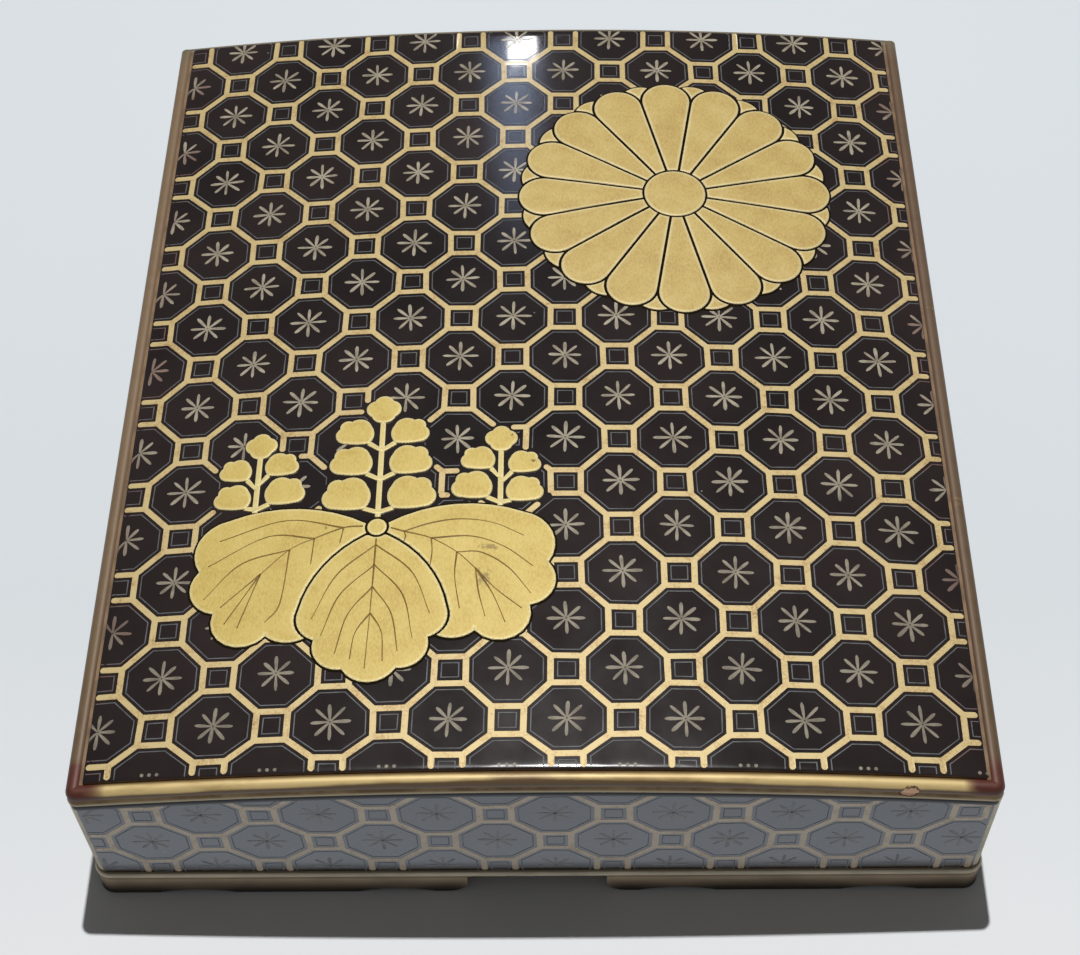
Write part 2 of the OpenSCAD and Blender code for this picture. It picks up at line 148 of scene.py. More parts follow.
# Polished black lacquer: many thin coats rubbed to a mirror, so it is near black with a brown
# cast, takes sharp reflections over a soft haze and shows dust, rubbing and hairline scratches
lacquerLook = {
    "body": [(0.35, "#1c1514"), (0.68, "#2c2221")],
    "cloudSize": 60,
    "dust": "#8d8882",
    "dustSpacing": 11,
    "dustEdge": (0.035, 0.02),  # where a speck fades out and where it is full, as shares of the spacing
    "dustFrom": 0.72,  # of the places for a speck, those under this chance stay empty
    "hazeSize": 14,
    "hazeRough": (0.3, 0.75, 0.17, 0.26),
    "scratchWidth": 0.5,  # finer in truth, drawn this coarse so that it shows
    "scratchTurn": (0.0, 0.0, 0.5),
    "scratchStretch": (1.0, 0.03, 1.0),
}


def blackLacquer(look):
    material, add, shader, place = startMaterial(
        "polished_black_lacquer",
        {"IOR": 1.5, "Specular IOR Level": 0.25,
         "Coat Weight": 1.0, "Coat IOR": 1.6, "Coat Roughness": 0.045})
    body = mottled(add, place, look["cloudSize"], 5.0, look["body"])[1]
    cells = add("TexVoronoi", {"Vector": place, "Scale": perMm(look["dustSpacing"])})
    spot = add("MapRange", {"Value": cells, "span": look["dustEdge"]})
    chance = add("SeparateColor", {"Color": cells.node.outputs["Color"]})
    some = add("Math", {"operation": "GREATER_THAN", 0: chance, 1: look["dustFrom"]})
    dust = add("Math", {"operation": "MULTIPLY", 0: spot, 1: some})
    colour = add("Mix", {"data_type": "RGBA", 0: dust, 6: body, 7: look["dust"]})
    haze = add("TexNoise", {"Vector": place, "Scale": perMm(look["hazeSize"]), "Detail": 8.0})
    gloss = add("MapRange", {"Value": haze, "span": look["hazeRough"]})
    drawn = add("Mapping", {"Vector": place, "Rotation": look["scratchTurn"],
                                      "Scale": look["scratchStretch"]})
    hairs = add("TexNoise", {"Vector": drawn, "Scale": perMm(look["scratchWidth"]), "Detail": 2.0})
    relief = add("Bump", {"Height": hairs, "Strength": 0.05, "Distance": 0.05 * mm})
    feed(shader, {"Base Color": colour, "Roughness": gloss, "Normal": relief})
    return material


# Sprinkled gold lines: gold powder on wet lacquer, burnished, so it is warm, half matt and grainy,
# with a little red-brown ground showing where it is rubbed thin
goldLineLook = {
    "grain": 0.7,  # the powder is finer, drawn this coarse so that it shows
    "patchSize": 5,
    "top": {"coat": 1.0, "coatRough": 0.07,
            "stops": [(0.26, "#8f6a42"), (0.38, "#c0a16a"), (0.5, "#d4bd86")]},
    # the walls take hazier copies of the gold, a painted reflection haze
    "wall": {"coat": 0.6, "coatRough": 0.12,
             "stops": [(0.26, "#7f6c52"), (0.38, "#a08a68"), (0.5, "#b9a588")]},
}


def goldLine(name, look):
    material, add, shader, place = startMaterial(
        name, {"Metallic": 0.2, "Roughness": 0.5,
               "Coat Weight": look["coat"], "Coat Roughness": look["coatRough"]})
    grain = add("TexNoise", {"Vector": place, "Scale": perMm(goldLineLook["grain"]), "Detail": 3.0})
    patch = add("TexNoise", {"Vector": place, "Scale": perMm(goldLineLook["patchSize"]), "Detail": 4.0})
    both = add("Math", {"operation": "ADD", 0: grain, 1: patch})
    mean = add("Math", {"operation": "MULTIPLY", 0: both, 1: 0.5})
    colour = add("ValToRGB", {"Fac": mean, "stops": look["stops"]})
    relief = add("Bump", {"Height": grain, "Strength": 0.25, "Distance": 0.06 * mm})
    feed(shader, {"Base Color": colour, "Normal": relief})
    return material


# Fine silver lines and stars: thin powder drawing, tarnished grey, duller than the gold, rubbed to the
# red of its ground here and there along the edges that hands reach, and darker towards the front. Places in
# mm
silverLook = {
    "patchSize": 4,
    "redSize": 16,
    "red": "#74504a",
    "redFrom": {"X": 112, "Y": 146},
    "redReach": 10,
    "redShare": (0.42, 0.58),
    "darkerFrom": -10,
    "darkerTo": -120,
    # bright and dull silver, most red, coat, share of the brightness that is left at the front
    "topLine": ("#696a6c", "#4c4d4e", 0.8, 0.9, 1.0),
    "topStar": ("#aea48f", "#877d6b", 0.7, 0.9, 0.66),
    # the walls take hazier copies of the silver, a painted reflection haze
    "wallLine": ("#737476", "#595a5c", 0.0, 0.0, 1.0),
    "wallStar": ("#8f918e", "#7a7c80", 0.0, 0.0, 1.0),
}


def silverPowder(name, look):
    bright, dull, mostRed, coat, frontShare = look
    material, add, shader, place = startMaterial(
        name, {"Metallic": 0.2, "Roughness": 0.6, "Coat Weight": coat, "Coat Roughness": 0.07})
    colour = mottled(add, place, silverLook["patchSize"], 6.0, [(0.35, dull), (0.62, bright)])[1]
    wide = add("TexNoise", {"Vector": place, "Scale": perMm(silverLook["redSize"]), "Detail": 2.0})
    axes = add("SeparateXYZ", {"Vector": place}).node.outputs
    rubbed = []
    for axis, start in silverLook["redFrom"].items():
        size = add("Math", {"operation": "ABSOLUTE", 0: axes[axis]})
        reach = (start * mm, (start + silverLook["redReach"]) * mm)
        rubbed.append(add("MapRange", {"Value": size, "span": reach}))
    edge = add("Math", {"operation": "MAXIMUM", 0: rubbed[0], 1: rubbed[1]})
    some = add("Math", {"operation": "MULTIPLY", 0: edge, 1: wide})
    share = add("MapRange", {"Value": some, "span": (*silverLook["redShare"], 0.0, mostRed)})
    colour = add("Mix", {"data_type": "RGBA", 0: share, 6: colour, 7: silverLook["red"]})
    reach = (silverLook["darkerFrom"] * mm, silverLook["darkerTo"] * mm)
    darkening = add("MapRange", {"Value": axes["Y"], "span": (*reach, 1.0, frontShare)})
    colour = add("VectorMath", {"operation": "SCALE", 0: colour, "Scale": darkening})
    feed(shader, {"Base Color": colour})
    return material


# Raised gold crest: built-up lacquer under gold powder, burnished flat, with a fine brushed grain, and
# paler along its edges, a painted highlight where the raised edges catch the light. The edge attribute is 1
# at a piece's border
crestLook = {
    "cloudSize": 9,
    "grain": 0.55,
    "grainTurn": (0.0, 0.0, 0.3),
    "grainStretch": (1.0, 0.45, 1.0),
    "grainShare": 0.55,
    "edgeHighlightShare": 0.75,
    "mark": "#6d522c",
    "markGrain": 1.6,
    "markRagged": 2.4,
    "markEdge": (1.9, 1.5),  # how far out a mark begins and is full, with the ragged part added
    "marks": [  # rubbed and stained places: middle, half length and half width in mm, share
        ((-18.5, -40.1), (1.2, 0.8), 0.9), ((-0.3, -45.9), (1.2, 1.1), 0.9),
        ((-7.0, -35.8), (0.7, 0.7), 0.9), ((-15.2, -89.5), (3.2, 4.5), 0.55),
        ((-13.8, -78.5), (5.0, 1.4), 0.55), ((-64.2, -69.7), (0.6, 1.0), 0.7),
    ],
    # edge colours: the painted highlight along each piece's border
    "petals": {"stops": [(0.34, "#b99b58"), (0.5, "#c9af69"), (0.68, "#d3bc7b")], "edge": "#f3e6b8"},
    "leaves": {"stops": [(0.34, "#c2a553"), (0.5, "#d0b763"), (0.68, "#dac374")], "edge": "#f5e9b4"},
}


# How far a point lies from the middle of a spot, in its half sizes, with a ragged amount added
def spotDistance(add, place, middle, half, ragged, amount):
    centred = add("Mapping", {"Vector": place, "Scale": [1000 / h if h else 0.0 for h in half],
                                        "Location": [-c / h if h else 0.0 for c, h in zip(middle, half)]})
    spread = add("VectorMath", {"operation": "LENGTH", 0: centred})
    return add("Math", {"operation": "MULTIPLY_ADD", 0: ragged, 1: amount, 2: spread})


def crestGold(name, look):
    material, add, shader, place = startMaterial(name, {"Metallic": 0.12, "Roughness": 0.52})
    cloud = add("TexNoise", {"Vector": place, "Scale": perMm(crestLook["cloudSize"]), "Detail": 6.0})
    brushed = add("Mapping", {"Vector": place, "Rotation": crestLook["grainTurn"],
                                        "Scale": crestLook["grainStretch"]})
    grain = add("TexNoise", {"Vector": brushed, "Scale": perMm(crestLook["grain"]), "Detail": 3.0})
    fine = add("Math", {"operation": "MULTIPLY", 0: grain, 1: crestLook["grainShare"]})
    both = add("Math", {"operation": "MULTIPLY_ADD", 0: cloud, 1: 1 - crestLook["grainShare"], 2: fine})
    colour = add("ValToRGB", {"Fac": both, "stops": look["stops"]})
    border = add("Attribute", {"attribute_name": "edge"}).node.outputs["Fac"]
    paintedEdgeHighlight = add("Math", {"operation": "MULTIPLY", 0: border, 1: crestLook["edgeHighlightShare"]})
    colour = add("Mix", {"data_type": "RGBA", 0: paintedEdgeHighlight, 6: colour, 7: look["edge"]})
    ragged = add("TexNoise", {"Vector": place, "Scale": perMm(crestLook["markGrain"]), "Detail": 5.0})
    for middle, half, share in crestLook["marks"]:
        far = spotDistance(add, place, (*middle, 0.0), (*half, 0.0), ragged, crestLook["markRagged"])
        stain = add("MapRange", {"Value": far, "span": (*crestLook["markEdge"], 0.0, share)})
        colour = add("Mix", {"data_type": "RGBA", 0: stain, 6: colour, 7: crestLook["mark"]})
    relief = add("Bump", {"Height": both, "Strength": 0.35, "Distance": 0.08 * mm})
    feed(shader, {"Base Color": colour, "Normal": relief})
    return material


# Vein drawing on the leaves: lines scratched through the gold to the brown lacquer under it
veinLook = {"patchSize": 3, "stops": [(0.3, "#75581f"), (0.7, "#8f6f2c")]}


def veinBrown(look):
    material, add, shader, place = startMaterial("scratched_vein_brown", {"Roughness": 0.5})
    feed(shader, {"Base Color": mottled(add, place, look["patchSize"], 4.0, look["stops"])[1]})
    return material


# Gold-lacquered rim bead: gold powder rubbed smooth on top; painted shade brown on its underside, reaching
# higher up in the middle of the ends, and along its inner side; red-brown at the corners, darker along the
# sides, one chip to the wood
rimLook = {
    "stops": [(0.34, "#b6985f"), (0.54, "#dec387")],
    # painted shade: brown on the bead's downward-facing part
    "under": "#725b40",
    "underEdge": (1.16, 0.92),
    "crease": "#6b5333",  # painted shade along the inner side, where the bead meets the lacquer
    "creaseEdge": (-0.01, -0.07, 0.0, 0.9),
    "sideLeft": "#816a53",
    "sideRight": "#665040",
    "sideShare": (0.1, 0.34, 0.0, 0.95),
    "sideFront": "#5c4630",  # both sides go this brown towards the front
    "sideFrontReach": (0.02, 0.14, 0.0, 0.7),  # from and to in m, then the shares there
    "rear": "#766a52",
    "rearReach": (0.144, 0.154, 0.0, 0.9),
    "wornRed": "#5e3226",
    "wornFrom": {"X": 121, "Y": 144},  # the red ground shows from here out to the corners
    "wornReach": 11,
    "wornShare": (0.08, 0.28),
    "bareWood": "#e6b891",
    "streakSize": 5,
    "streakStretch": (0.3, 1.0, 1.0),
    "shadeReachFromMiddle": 90,  # the painted shade reaches up the bead less and less as far as this from the middle
    "brownReach": (-0.1, 0.38),
    "brownRagged": 0.35,
    "rough": (0.0, 1.0, 0.4, 0.58),
    "chip": (107.2, -157.7, 61.5),
    "chipHalf": (2.9, 3.0, 2.4),
    "chipGrain": 1.6,
    "chipRagged": 0.9,
    "chipBorder": "#5a3c28",
    "chipLimits": (1.52, 1.36),  # of the dark border and of the bare wood in it
    "chipSoft": 0.1,
}


# The finish broken away to the bare wood at one spot, with a ragged dark border
def chipped(add, place, colour):
    ragged = add("TexNoise", {"Vector": place, "Scale": perMm(rimLook["chipGrain"]), "Detail": 3.0})
    far = spotDistance(add, place, rimLook["chip"], rimLook["chipHalf"], ragged, rimLook["chipRagged"])
    for limit, code in zip(rimLook["chipLimits"], (rimLook["chipBorder"], rimLook["bareWood"])):
        inside = add("MapRange", {"Value": far, "span": (limit, limit - rimLook["chipSoft"])})
        colour = add("Mix", {"data_type": "RGBA", 0: inside, 6: colour, 7: code})
    return colour


def rimGold(look):
    material, add, shader, place = startMaterial(
        "rubbed_gold_rim", {"Metallic": 0.15, "Coat Weight": 0.05, "Coat Roughness": 0.25})
    drawn = add("Mapping", {"Vector": place, "Scale": look["streakStretch"]})
    streak, colour = mottled(add, drawn, look["streakSize"], 7.0, look["stops"])
    axes = add("SeparateXYZ", {"Vector": place}).node.outputs
    sideways = add("Math", {"operation": "ABSOLUTE", 0: axes["X"]})
    forwards = add("Math", {"operation": "MULTIPLY", 0: axes["Y"], 1: -1.0})
    far = []
    for size, start in zip((sideways, forwards), look["wornFrom"].values()):
        reach = (start * mm, (start + look["wornReach"]) * mm)
        far.append(add("MapRange", {"Value": size, "span": reach}))

    # painted shade: brown from below, higher up the bead in the middle of the ends
    facing = add("TexCoord", {}).node.outputs["Normal"]
    upward = add("SeparateXYZ", {"Vector": facing}).node.outputs["Z"]
    reach = (0.0, look["shadeReachFromMiddle"] * mm, *look["brownReach"])
    shadeLowering = add("MapRange", {"Value": sideways, "span": reach})
    height = add("Math", {"operation": "ADD", 0: upward, 1: shadeLowering})
    uneven = add("Math", {"operation": "MULTIPLY_ADD", 0: streak, 1: look["brownRagged"], 2: height})
    below = add("MapRange", {"Value": uneven, "span": look["underEdge"]})
    level = add("VectorMath", {"operation": "MULTIPLY", 0: place, 1: (1.0, 1.0, 0.0)})
    outward = add("VectorMath", {"operation": "DOT_PRODUCT", 0: facing, 1: level})
    inward = add("MapRange", {"Value": outward, "span": look["creaseEdge"]})

    # the two sides, each with its own brown
    which = add("MapRange", {"Value": axes["X"], "span": (-0.1, 0.1)})
    sides = add("Mix", {"data_type": "RGBA", 0: which, 6: look["sideLeft"], 7: look["sideRight"]})
    nearFront = add("MapRange", {"Value": forwards, "span": look["sideFrontReach"]})
    sides = add("Mix", {"data_type": "RGBA", 0: nearFront, 6: sides, 7: look["sideFront"]})
    sideShare = add("Math", {"operation": "MULTIPLY", 0: far[0], 1: streak})
    sideDarkening = add("MapRange", {"Value": sideShare, "span": look["sideShare"]})
    behind = add("MapRange", {"Value": axes["Y"], "span": look["rearReach"]})

    # the red ground at the front corners
    corner = add("Math", {"operation": "MULTIPLY", 0: far[0], 1: far[1]})
    ragged = add("Math", {"operation": "MULTIPLY", 0: corner, 1: streak})
    bare = add("MapRange", {"Value": ragged, "span": look["wornShare"]})
    for share, over in ((below, look["under"]), (inward, look["crease"]), (sideDarkening, sides),
                        (behind, look["rear"]), (bare, look["wornRed"])):
        colour = add("Mix", {"data_type": "RGBA", 0: share, 6: colour, 7: over})
    gloss = add("MapRange", {"Value": streak, "span": look["rough"]})
    feed(shader, {"Base Color": chipped(add, place, colour), "Roughness": gloss})
    return material


# Fillet under the bead: the same gold gone brown and dirty, pale along its edge (rubbed, and a painted
# highlight), a painted shade line below it
filletLook = {
    "streakSize": 7,
    # pale edge colour: rubbed gold, and a painted highlight
    "slope": {"stops": [(0.36, "#82694a"), (0.6, "#a38b66")], "edge": "#d8c8a6"},
    "crease": {"stops": [(0.36, "#735d47"), (0.6, "#8f755a")], "edge": "#8f755a"},
    # the line is painted shade under the rim, fading to grey down the wall
    "line": {"stops": [(0.36, "#13100e"), (0.6, "#1b1714")], "edge": "#737477"},
}


def filletBrown(name, look):
    material, add, shader, place = startMaterial(
        name, {"Metallic": 0.1, "Roughness": 0.5, "Specular IOR Level": 0.2})
    colour = mottled(add, place, filletLook["streakSize"], 6.0, look["stops"])[1]
    border = add("Attribute", {"attribute_name": "edge"}).node.outputs["Fac"]
    colour = add("Mix", {"data_type": "RGBA", 0: border, 6: colour, 7: look["edge"]})
    feed(shader, {"Base Color": chipped(add, place, colour)})
    return material


# Gold-lacquered base and corner beads: the same powder, duller and dirtier than the rim, half matt, graded by
# height from painted shade at the table to a painted highlight on the base's top edge, and paler on top as
# painted light. Heights in mm
baseLook = {
    "streakSize": 8,
    "streakStretch": (0.4, 0.4, 1.0),
    "darkening": (0.62, 0.34),
    "dullShare": 0.7,
    # painted light: the up-facing top is paler
    "topFace": "#c3b297",
    "topFacing": (0.8, 0.95),
    "rough": (0.0, 1.0, 0.42, 0.62),
    # painted shade dark at the table and in a band at the groove, painted highlight pale at the top edge
    "base": [(0, "#2e2822"), (2, "#4e4336"), (4.5, "#8f7c64"), (7.6, "#c0ac8e"), (8.6, "#9f8a6c"),
             (8.9, "#5b4a37"), (9.4, "#c9b797"), (11.2, "#fdf3da")],
    "cornerBead": [(0, "#c8bea6"), (70, "#d8cfb8")],
}


def baseGold(name, shades):
    material, add, shader, place = startMaterial(name, {"Metallic": 0.1, "Specular IOR Level": 0.25})
    drawn = add("Mapping", {"Vector": place, "Scale": baseLook["streakStretch"]})
    streak = add("TexNoise", {"Vector": drawn, "Scale": perMm(baseLook["streakSize"]), "Detail": 7.0})
    axes = add("SeparateXYZ", {"Vector": place}).node.outputs
    highest = shades[-1][0]
    height = add("MapRange", {"Value": axes["Z"], "span": (0.0, highest * mm)})
    colour = add("ValToRGB", {"Fac": height, "stops": [(h / highest, code) for h, code in shades]})
    share = add("MapRange", {"Value": streak, "span": baseLook["darkening"]})
    darkening = add("MapRange", {"Value": share, "span": (0.0, 1.0, 1.0, baseLook["dullShare"])})
    colour = add("VectorMath", {"operation": "SCALE", 0: colour, "Scale": darkening})
    facing = add("TexCoord", {}).node.outputs["Normal"]
    upward = add("SeparateXYZ", {"Vector": facing}).node.outputs["Z"]
    top = add("MapRange", {"Value": upward, "span": baseLook["topFacing"]})
    colour = add("Mix", {"data_type": "RGBA", 0: top, 6: colour, 7: baseLook["topFace"]})
    gloss = add("MapRange", {"Value": streak, "span": baseLook["rough"]})
    feed(shader, {"Base Color": colour, "Roughness": gloss})
    return material


# Pear-skin lacquer inside: gold flakes drowned in amber lacquer over brown, hidden in the photograph
innerLook = {
    "ground": [(0.35, "#2a150d"), (0.7, "#3d2110")],
    "cloudSize": 30,
    "flake": "#b48a45",
    "flakeSize": 1.1,
    "flakeShare": (0.66, 0.9),
}


def innerLacquer(look):
    material, add, shader, place = startMaterial("flaked_inner_lacquer", {"IOR": 1.55, "Roughness": 0.16})
    ground = mottled(add, place, look["cloudSize"], 4.0, look["ground"])[1]
    flakes = add("TexVoronoi", {"Vector": place, "Scale": perMm(look["flakeSize"])})
    chance = add("SeparateColor", {"Color": flakes.node.outputs["Color"]})
    shown = add("MapRange", {"Value": chance, "span": look["flakeShare"]})
    colour = add("Mix", {"data_type": "RGBA", 0: shown, 6: ground, 7: look["flake"]})
    feed(shader, {"Base Color": colour})
    return material


lacquer = blackLacquer(lacquerLook)
lineGold = goldLine("sprinkled_gold_line", goldLineLook["top"])
wallGold = goldLine("wall_gold_line_painted_haze", goldLineLook["wall"])
lineSilver = silverPowder("tarnished_silver_line", silverLook["topLine"])
wallLine = silverPowder("wall_silver_line_painted_haze", silverLook["wallLine"])
starSilver = silverPowder("tarnished_silver_star", silverLook["topStar"])
wallStar = silverPowder("wall_silver_star_painted_haze", silverLook["wallStar"])
petalGold = crestGold("raised_petal_gold", crestLook["petals"])
leafGold = crestGold("raised_leaf_gold", crestLook["leaves"])
veinLine = veinBrown(veinLook)
rimMetal = rimGold(rimLook)
filletMetal = filletBrown("dirty_gold_fillet", filletLook["slope"])
darkLine = filletBrown("painted_shade_line", filletLook["line"])
creaseBrown = filletBrown("dirty_crease_brown", filletLook["crease"])
baseMoulding = baseGold("dull_gold_base", baseLook["base"])
cornerMoulding = baseGold("dull_gold_corner_bead", baseLook["cornerBead"])
inner = innerLacquer(innerLook)
print("materials made")

nodeFinish = {
    "body_": inner,
    "base_ledge_": baseMoulding,
    "foot_": baseMoulding,
    "lid_rim_": rimMetal,
    "corner_bead_": cornerMoulding,
    "lid_": lacquer,
    "chrysanthemum_": petalGold,
    "paulownia_": leafGold,
}
for name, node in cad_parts.items():
    start = next(key for key in nodeFinish if name.startswith(key))
    for slot in node.material_slots:
        slot.material = nodeFinish[start]


# Mesh helpers
weldGap = 0.002  # points closer than this many mm become one


def makePiece(name, points, faces, materials, body, smooth=None, shades=None, edge=None):
    mesh = bpy.data.meshes.new(name)
    mesh.from_pydata([[c * mm for c in p] for p in points], [], faces)
    for material in materials:
        mesh.materials.append(material)
    if shades:
        mesh.polygons.foreach_set("material_index", shades)
    if edge:
        mesh.attributes.new("edge", "FLOAT", "POINT").data.foreach_set("value", edge)
    work = bmesh.new()
    work.from_mesh(mesh)
    bmesh.ops.remove_doubles(work, verts=work.verts, dist=weldGap * mm)
    work.to_mesh(mesh)
    work.free()
    if smooth:
        mesh.shade_smooth()
        mesh.set_sharp_from_angle(angle=math.radians(smooth))
    piece = bpy.data.objects.new(name, mesh)
    bpy.context.scene.collection.objects.link(piece)
    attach(piece, body)
    return piece


def thicken(piece, depth):
    solid = piece.modifiers.new("thickness", "SOLIDIFY")
    solid.thickness = depth * mm
    solid.offset = -1.0


def clamp(value, limit):
    return max(-limit, min(limit, value))


# Stations round a rounded rectangle: points of the straights or the middles of the corner arcs, and the
# way outwards
def roundStations(axisX, axisY, counts, arcSteps):
    found = []
    for quarter in range(4):
        heading = math.pi / 2 * (quarter - 1)
        out = (round(math.cos(heading)), round(math.sin(heading)))
        for t in np.linspace(-1, 1, counts[quarter % 2]):
            found.append((axisX * (out[0] - out[1] * t), axisY * (out[1] + out[0] * t), *out))
        for k in range(1, arcSteps):
            a = heading + math.pi / 2 / arcSteps * k
            found.append((axisX * (out[0] - out[1]), axisY * (out[1] + out[0]), math.cos(a), math.sin(a)))
    return found


# Faces of a section with that many points, swept round that many stations and closed
def loopFaces(count, wide):
    faces = []
    for i in range(count):
        for k in range(wide):
            a, b = i * wide + k, i * wide + (k + 1) % wide
            step = wide * ((i + 1) % count - i)
            faces.append([a, b, b + step, a + step])
    return faces


# The top board, with its edges rolled over: rows of points close to each edge, evenly spread ones between
boardRows = {
    "near": [0.0, 0.08, 0.25, 0.55, 1.0, 1.6],
    "spreadFrom": 3,
    "across": 220,
    "along": 12,
    "smooth": 40,
}


def boardStations(half, count):
    near, inset = boardRows["near"], boardRows["spreadFrom"]
    middle = np.linspace(-half + inset, half - inset, count)
    return [-half + d for d in near] + list(middle) + [half - d for d in reversed(near)]


def topBoard():
    xs = boardStations(panelHalfX, boardRows["across"])
    ys = boardStations(panelHalfY, boardRows["along"])
    points = [(x, y, panelZ(x, y)) for y in ys for x in xs]
    points += [(x, y, archZ(x) - lidShape["panelThickness"]) for y in ys for x in xs]
    wide, layer = len(xs), len(xs) * len(ys)
    faces = []
    for j in range(len(ys) - 1):
        for i in range(wide - 1):
            a = j * wide + i
            quad = [a, a + 1, a + wide + 1, a + wide]
            faces += [quad, [k + layer for k in reversed(quad)]]
    shades = [0] * len(faces)
    border = list(range(wide))
    border += [j * wide + wide - 1 for j in range(1, len(ys))]
    border += [layer - 1 - i for i in range(1, wide)]
    border += [j * wide for j in range(len(ys) - 2, 0, -1)]
    for a, b in zip(border, border[1:] + border[:1]):
        faces.append([b, a, a + layer, b + layer])
        shades.append(1)
    board = makePiece("lid_top_board", points, faces, [lacquer, creaseBrown], "lid",
                      boardRows["smooth"], shades)
    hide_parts("lid_top_panel")


topBoard()

# The rim: a round bead below the panel's edge, over a sloped fillet, swept round the lid and arched with it
# at both ends. Places are mm outwards from the wall's face and upwards from the panel
rimShape = {
    "bead": 2.3,
    "beadMiddle": (-2.37, -2.8),
    "beadFrom": 139,  # degrees round the bead
    "beadTo": -38,
    "beadPoints": 30,
    "crease": (-4.25, -1.35),
    "width": 4.2,
    "lip": 3.0,
    "corner": 3.2,
    "counts": (81, 41),  # stations along an end and along a side
    "arcSteps": 10,
    "archStops": 132.9,  # the side strips run level with the arch at this x
    "edge": (0.2, -5.8),
    "softEdge": 0.3,
    "softTurn": (40, -90),
    "line": 0.1,  # how far the dark line under the fillet, a painted shade, stands out
    "lineDrop": 0.3,
    "lineFades": 1.9,  # the painted shade line thins out down the wall over this height
    "rearSink": 1.6,
    "smooth": 38,
}
beadPart, filletPart, linePart, creasePart = range(4)
rimFinish = [rimMetal, filletMetal, darkLine, creaseBrown]


# Points round the rim's section, each with its finish and its share of edge colour: those that show, then the
# hidden
def rimProfile():
    bead, soft, line = rimShape["bead"], rimShape["softEdge"], rimShape["line"]
    inside = -rimShape["width"] - rimShape["lip"]
    foot, under = -lidShape["rimFoot"], -lidShape["panelThickness"]
    middleU, middleV = rimShape["beadMiddle"]
    shown = [(*rimShape["crease"], creasePart, 0.0)]
    for a in np.linspace(rimShape["beadFrom"], rimShape["beadTo"], rimShape["beadPoints"]):
        finish = creasePart if a == rimShape["beadFrom"] else beadPart
        turn = math.radians(a)
        shown.append((middleU + bead * math.cos(turn), middleV + bead * math.sin(turn), finish, 0.0))
    edgeU, edgeV = rimShape["edge"]
    startU, startV = shown[-1][:2]
    for t in (0.3, 0.6):
        shown.append((startU + (edgeU - startU) * t, startV + (edgeV - startV) * t, filletPart, 0.0))
    for a in np.radians(np.linspace(*rimShape["softTurn"], 6)):
        shown.append((edgeU - soft + soft * math.cos(a), edgeV - soft + soft * math.sin(a), filletPart, 1.0))
    faded = foot - rimShape["lineFades"]
    for v, edgeMix in ((edgeV - 2 * soft, 0.0), (foot - rimShape["lineDrop"], 0.0), (faded, 1.0)):
        shown.append((line, v, linePart, edgeMix))
    hidden = [(-line, faded), (-lidShape["cornerRebate"], foot), (inside, foot), (inside, under),
              (-rimShape["width"], under)]
    return shown, [(u, v, linePart, 0.0) for u, v in hidden]


def rimFrame():
    shown, hidden = rimProfile()
    profile = shown + hidden
    wide = len(profile)
    axisX = lidShape["halfWidth"] - rimShape["corner"]
    axisY = lidShape["halfLength"] - rimShape["corner"]
    stops = roundStations(axisX, axisY, rimShape["counts"], rimShape["arcSteps"])
    points, edge = [], []
    for atX, atY, outX, outY in stops:
        for k, (u, v, _, edgeMix) in enumerate(profile):
            reach = rimShape["corner"] + u
            x, y = atX + outX * reach, atY + outY * reach
            if reach < 0:
                meetsPanel = k in (0, wide - 1)
                x = clamp(atX, axisX + reach - lidShape["sideWider"] * meetsPanel)
                y = clamp(atY, axisY + reach)
            sink = rimShape["rearSink"] * max(outY, 0) if k < len(shown) else 0.0
            points.append((x, y, archZ(min(abs(x), rimShape["archStops"])) + v - sink))
            edge.append(edgeMix)
    shades = [profile[(k + 1) % wide][2] for _ in stops for k in range(wide)]
    rim = makePiece("rim_frame", points, loopFaces(len(stops), wide), rimFinish, "lid",
                    rimShape["smooth"], shades, edge)
    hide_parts("lid_rim_front", "lid_rim_rear", "lid_rim_left", "lid_rim_right")


rimFrame()
print("top board and rim made")

# The base: a bevelled ledge that the lid stands on, and four bracket feet under it, flared at the front and
# cut to scallops below. Lengths in mm, outwards from the lid's walls and upwards from the table
baseShape = {
    "proud": 1.3,
    "depth": 6.0,
    "corner": 5.0,
    "arcSteps": 8,
    "ledgeTop": 11.2,
    "ledgeFoot": 8.8,
    "ledgeApart": 12.0,  # stations along the ledge and along the feet
    "footApart": 1.0,
    "bevel": (0.7, 0.9),  # inwards and downwards
    "soft": 0.25,
    "groove": (0.5, 0.6),  # depth and height of the dark line under the ledge
    "footSetBack": 0.3,
    "footRows": 7,
    "footEdge": (0.4, 0.5),  # the lower edge is cut off by this much inwards and upwards
    "flare": 0.9,
    "gap": 42.6,
    "endRound": (6.5, 6.0),  # length and height of a foot's round end
    "scallopWidth": 24.0,
    "scallopRise": 2.0,
    "scallopFromGap": 22.0,
    "scallopFromCorner": 31.0,
    "smooth": 32,
}
baseHalfX = lidShape["halfWidth"] + baseShape["proud"]
baseHalfY = lidShape["halfLength"] + baseShape["proud"]


def baseStations(apart):
    axisX, axisY = baseHalfX - baseShape["corner"], baseHalfY - baseShape["corner"]
    counts = [round(2 * axis / apart) + 1 for axis in (axisX, axisY)]
    return roundStations(axisX, axisY, counts, baseShape["arcSteps"])


def basePoint(station, u, v):
    atX, atY, outX, outY = station
    reach = baseShape["corner"] + u
    if reach < 0:
        return (clamp(atX, baseHalfX + u), clamp(atY, baseHalfY + u), v)
    return (atX + outX * reach, atY + outY * reach, v)


def sweptLoop(stops, sections):
    points = [basePoint(stop, u, v) for stop, section in zip(stops, sections) for u, v in section]
    return points, loopFaces(len(stops), len(sections[0]))


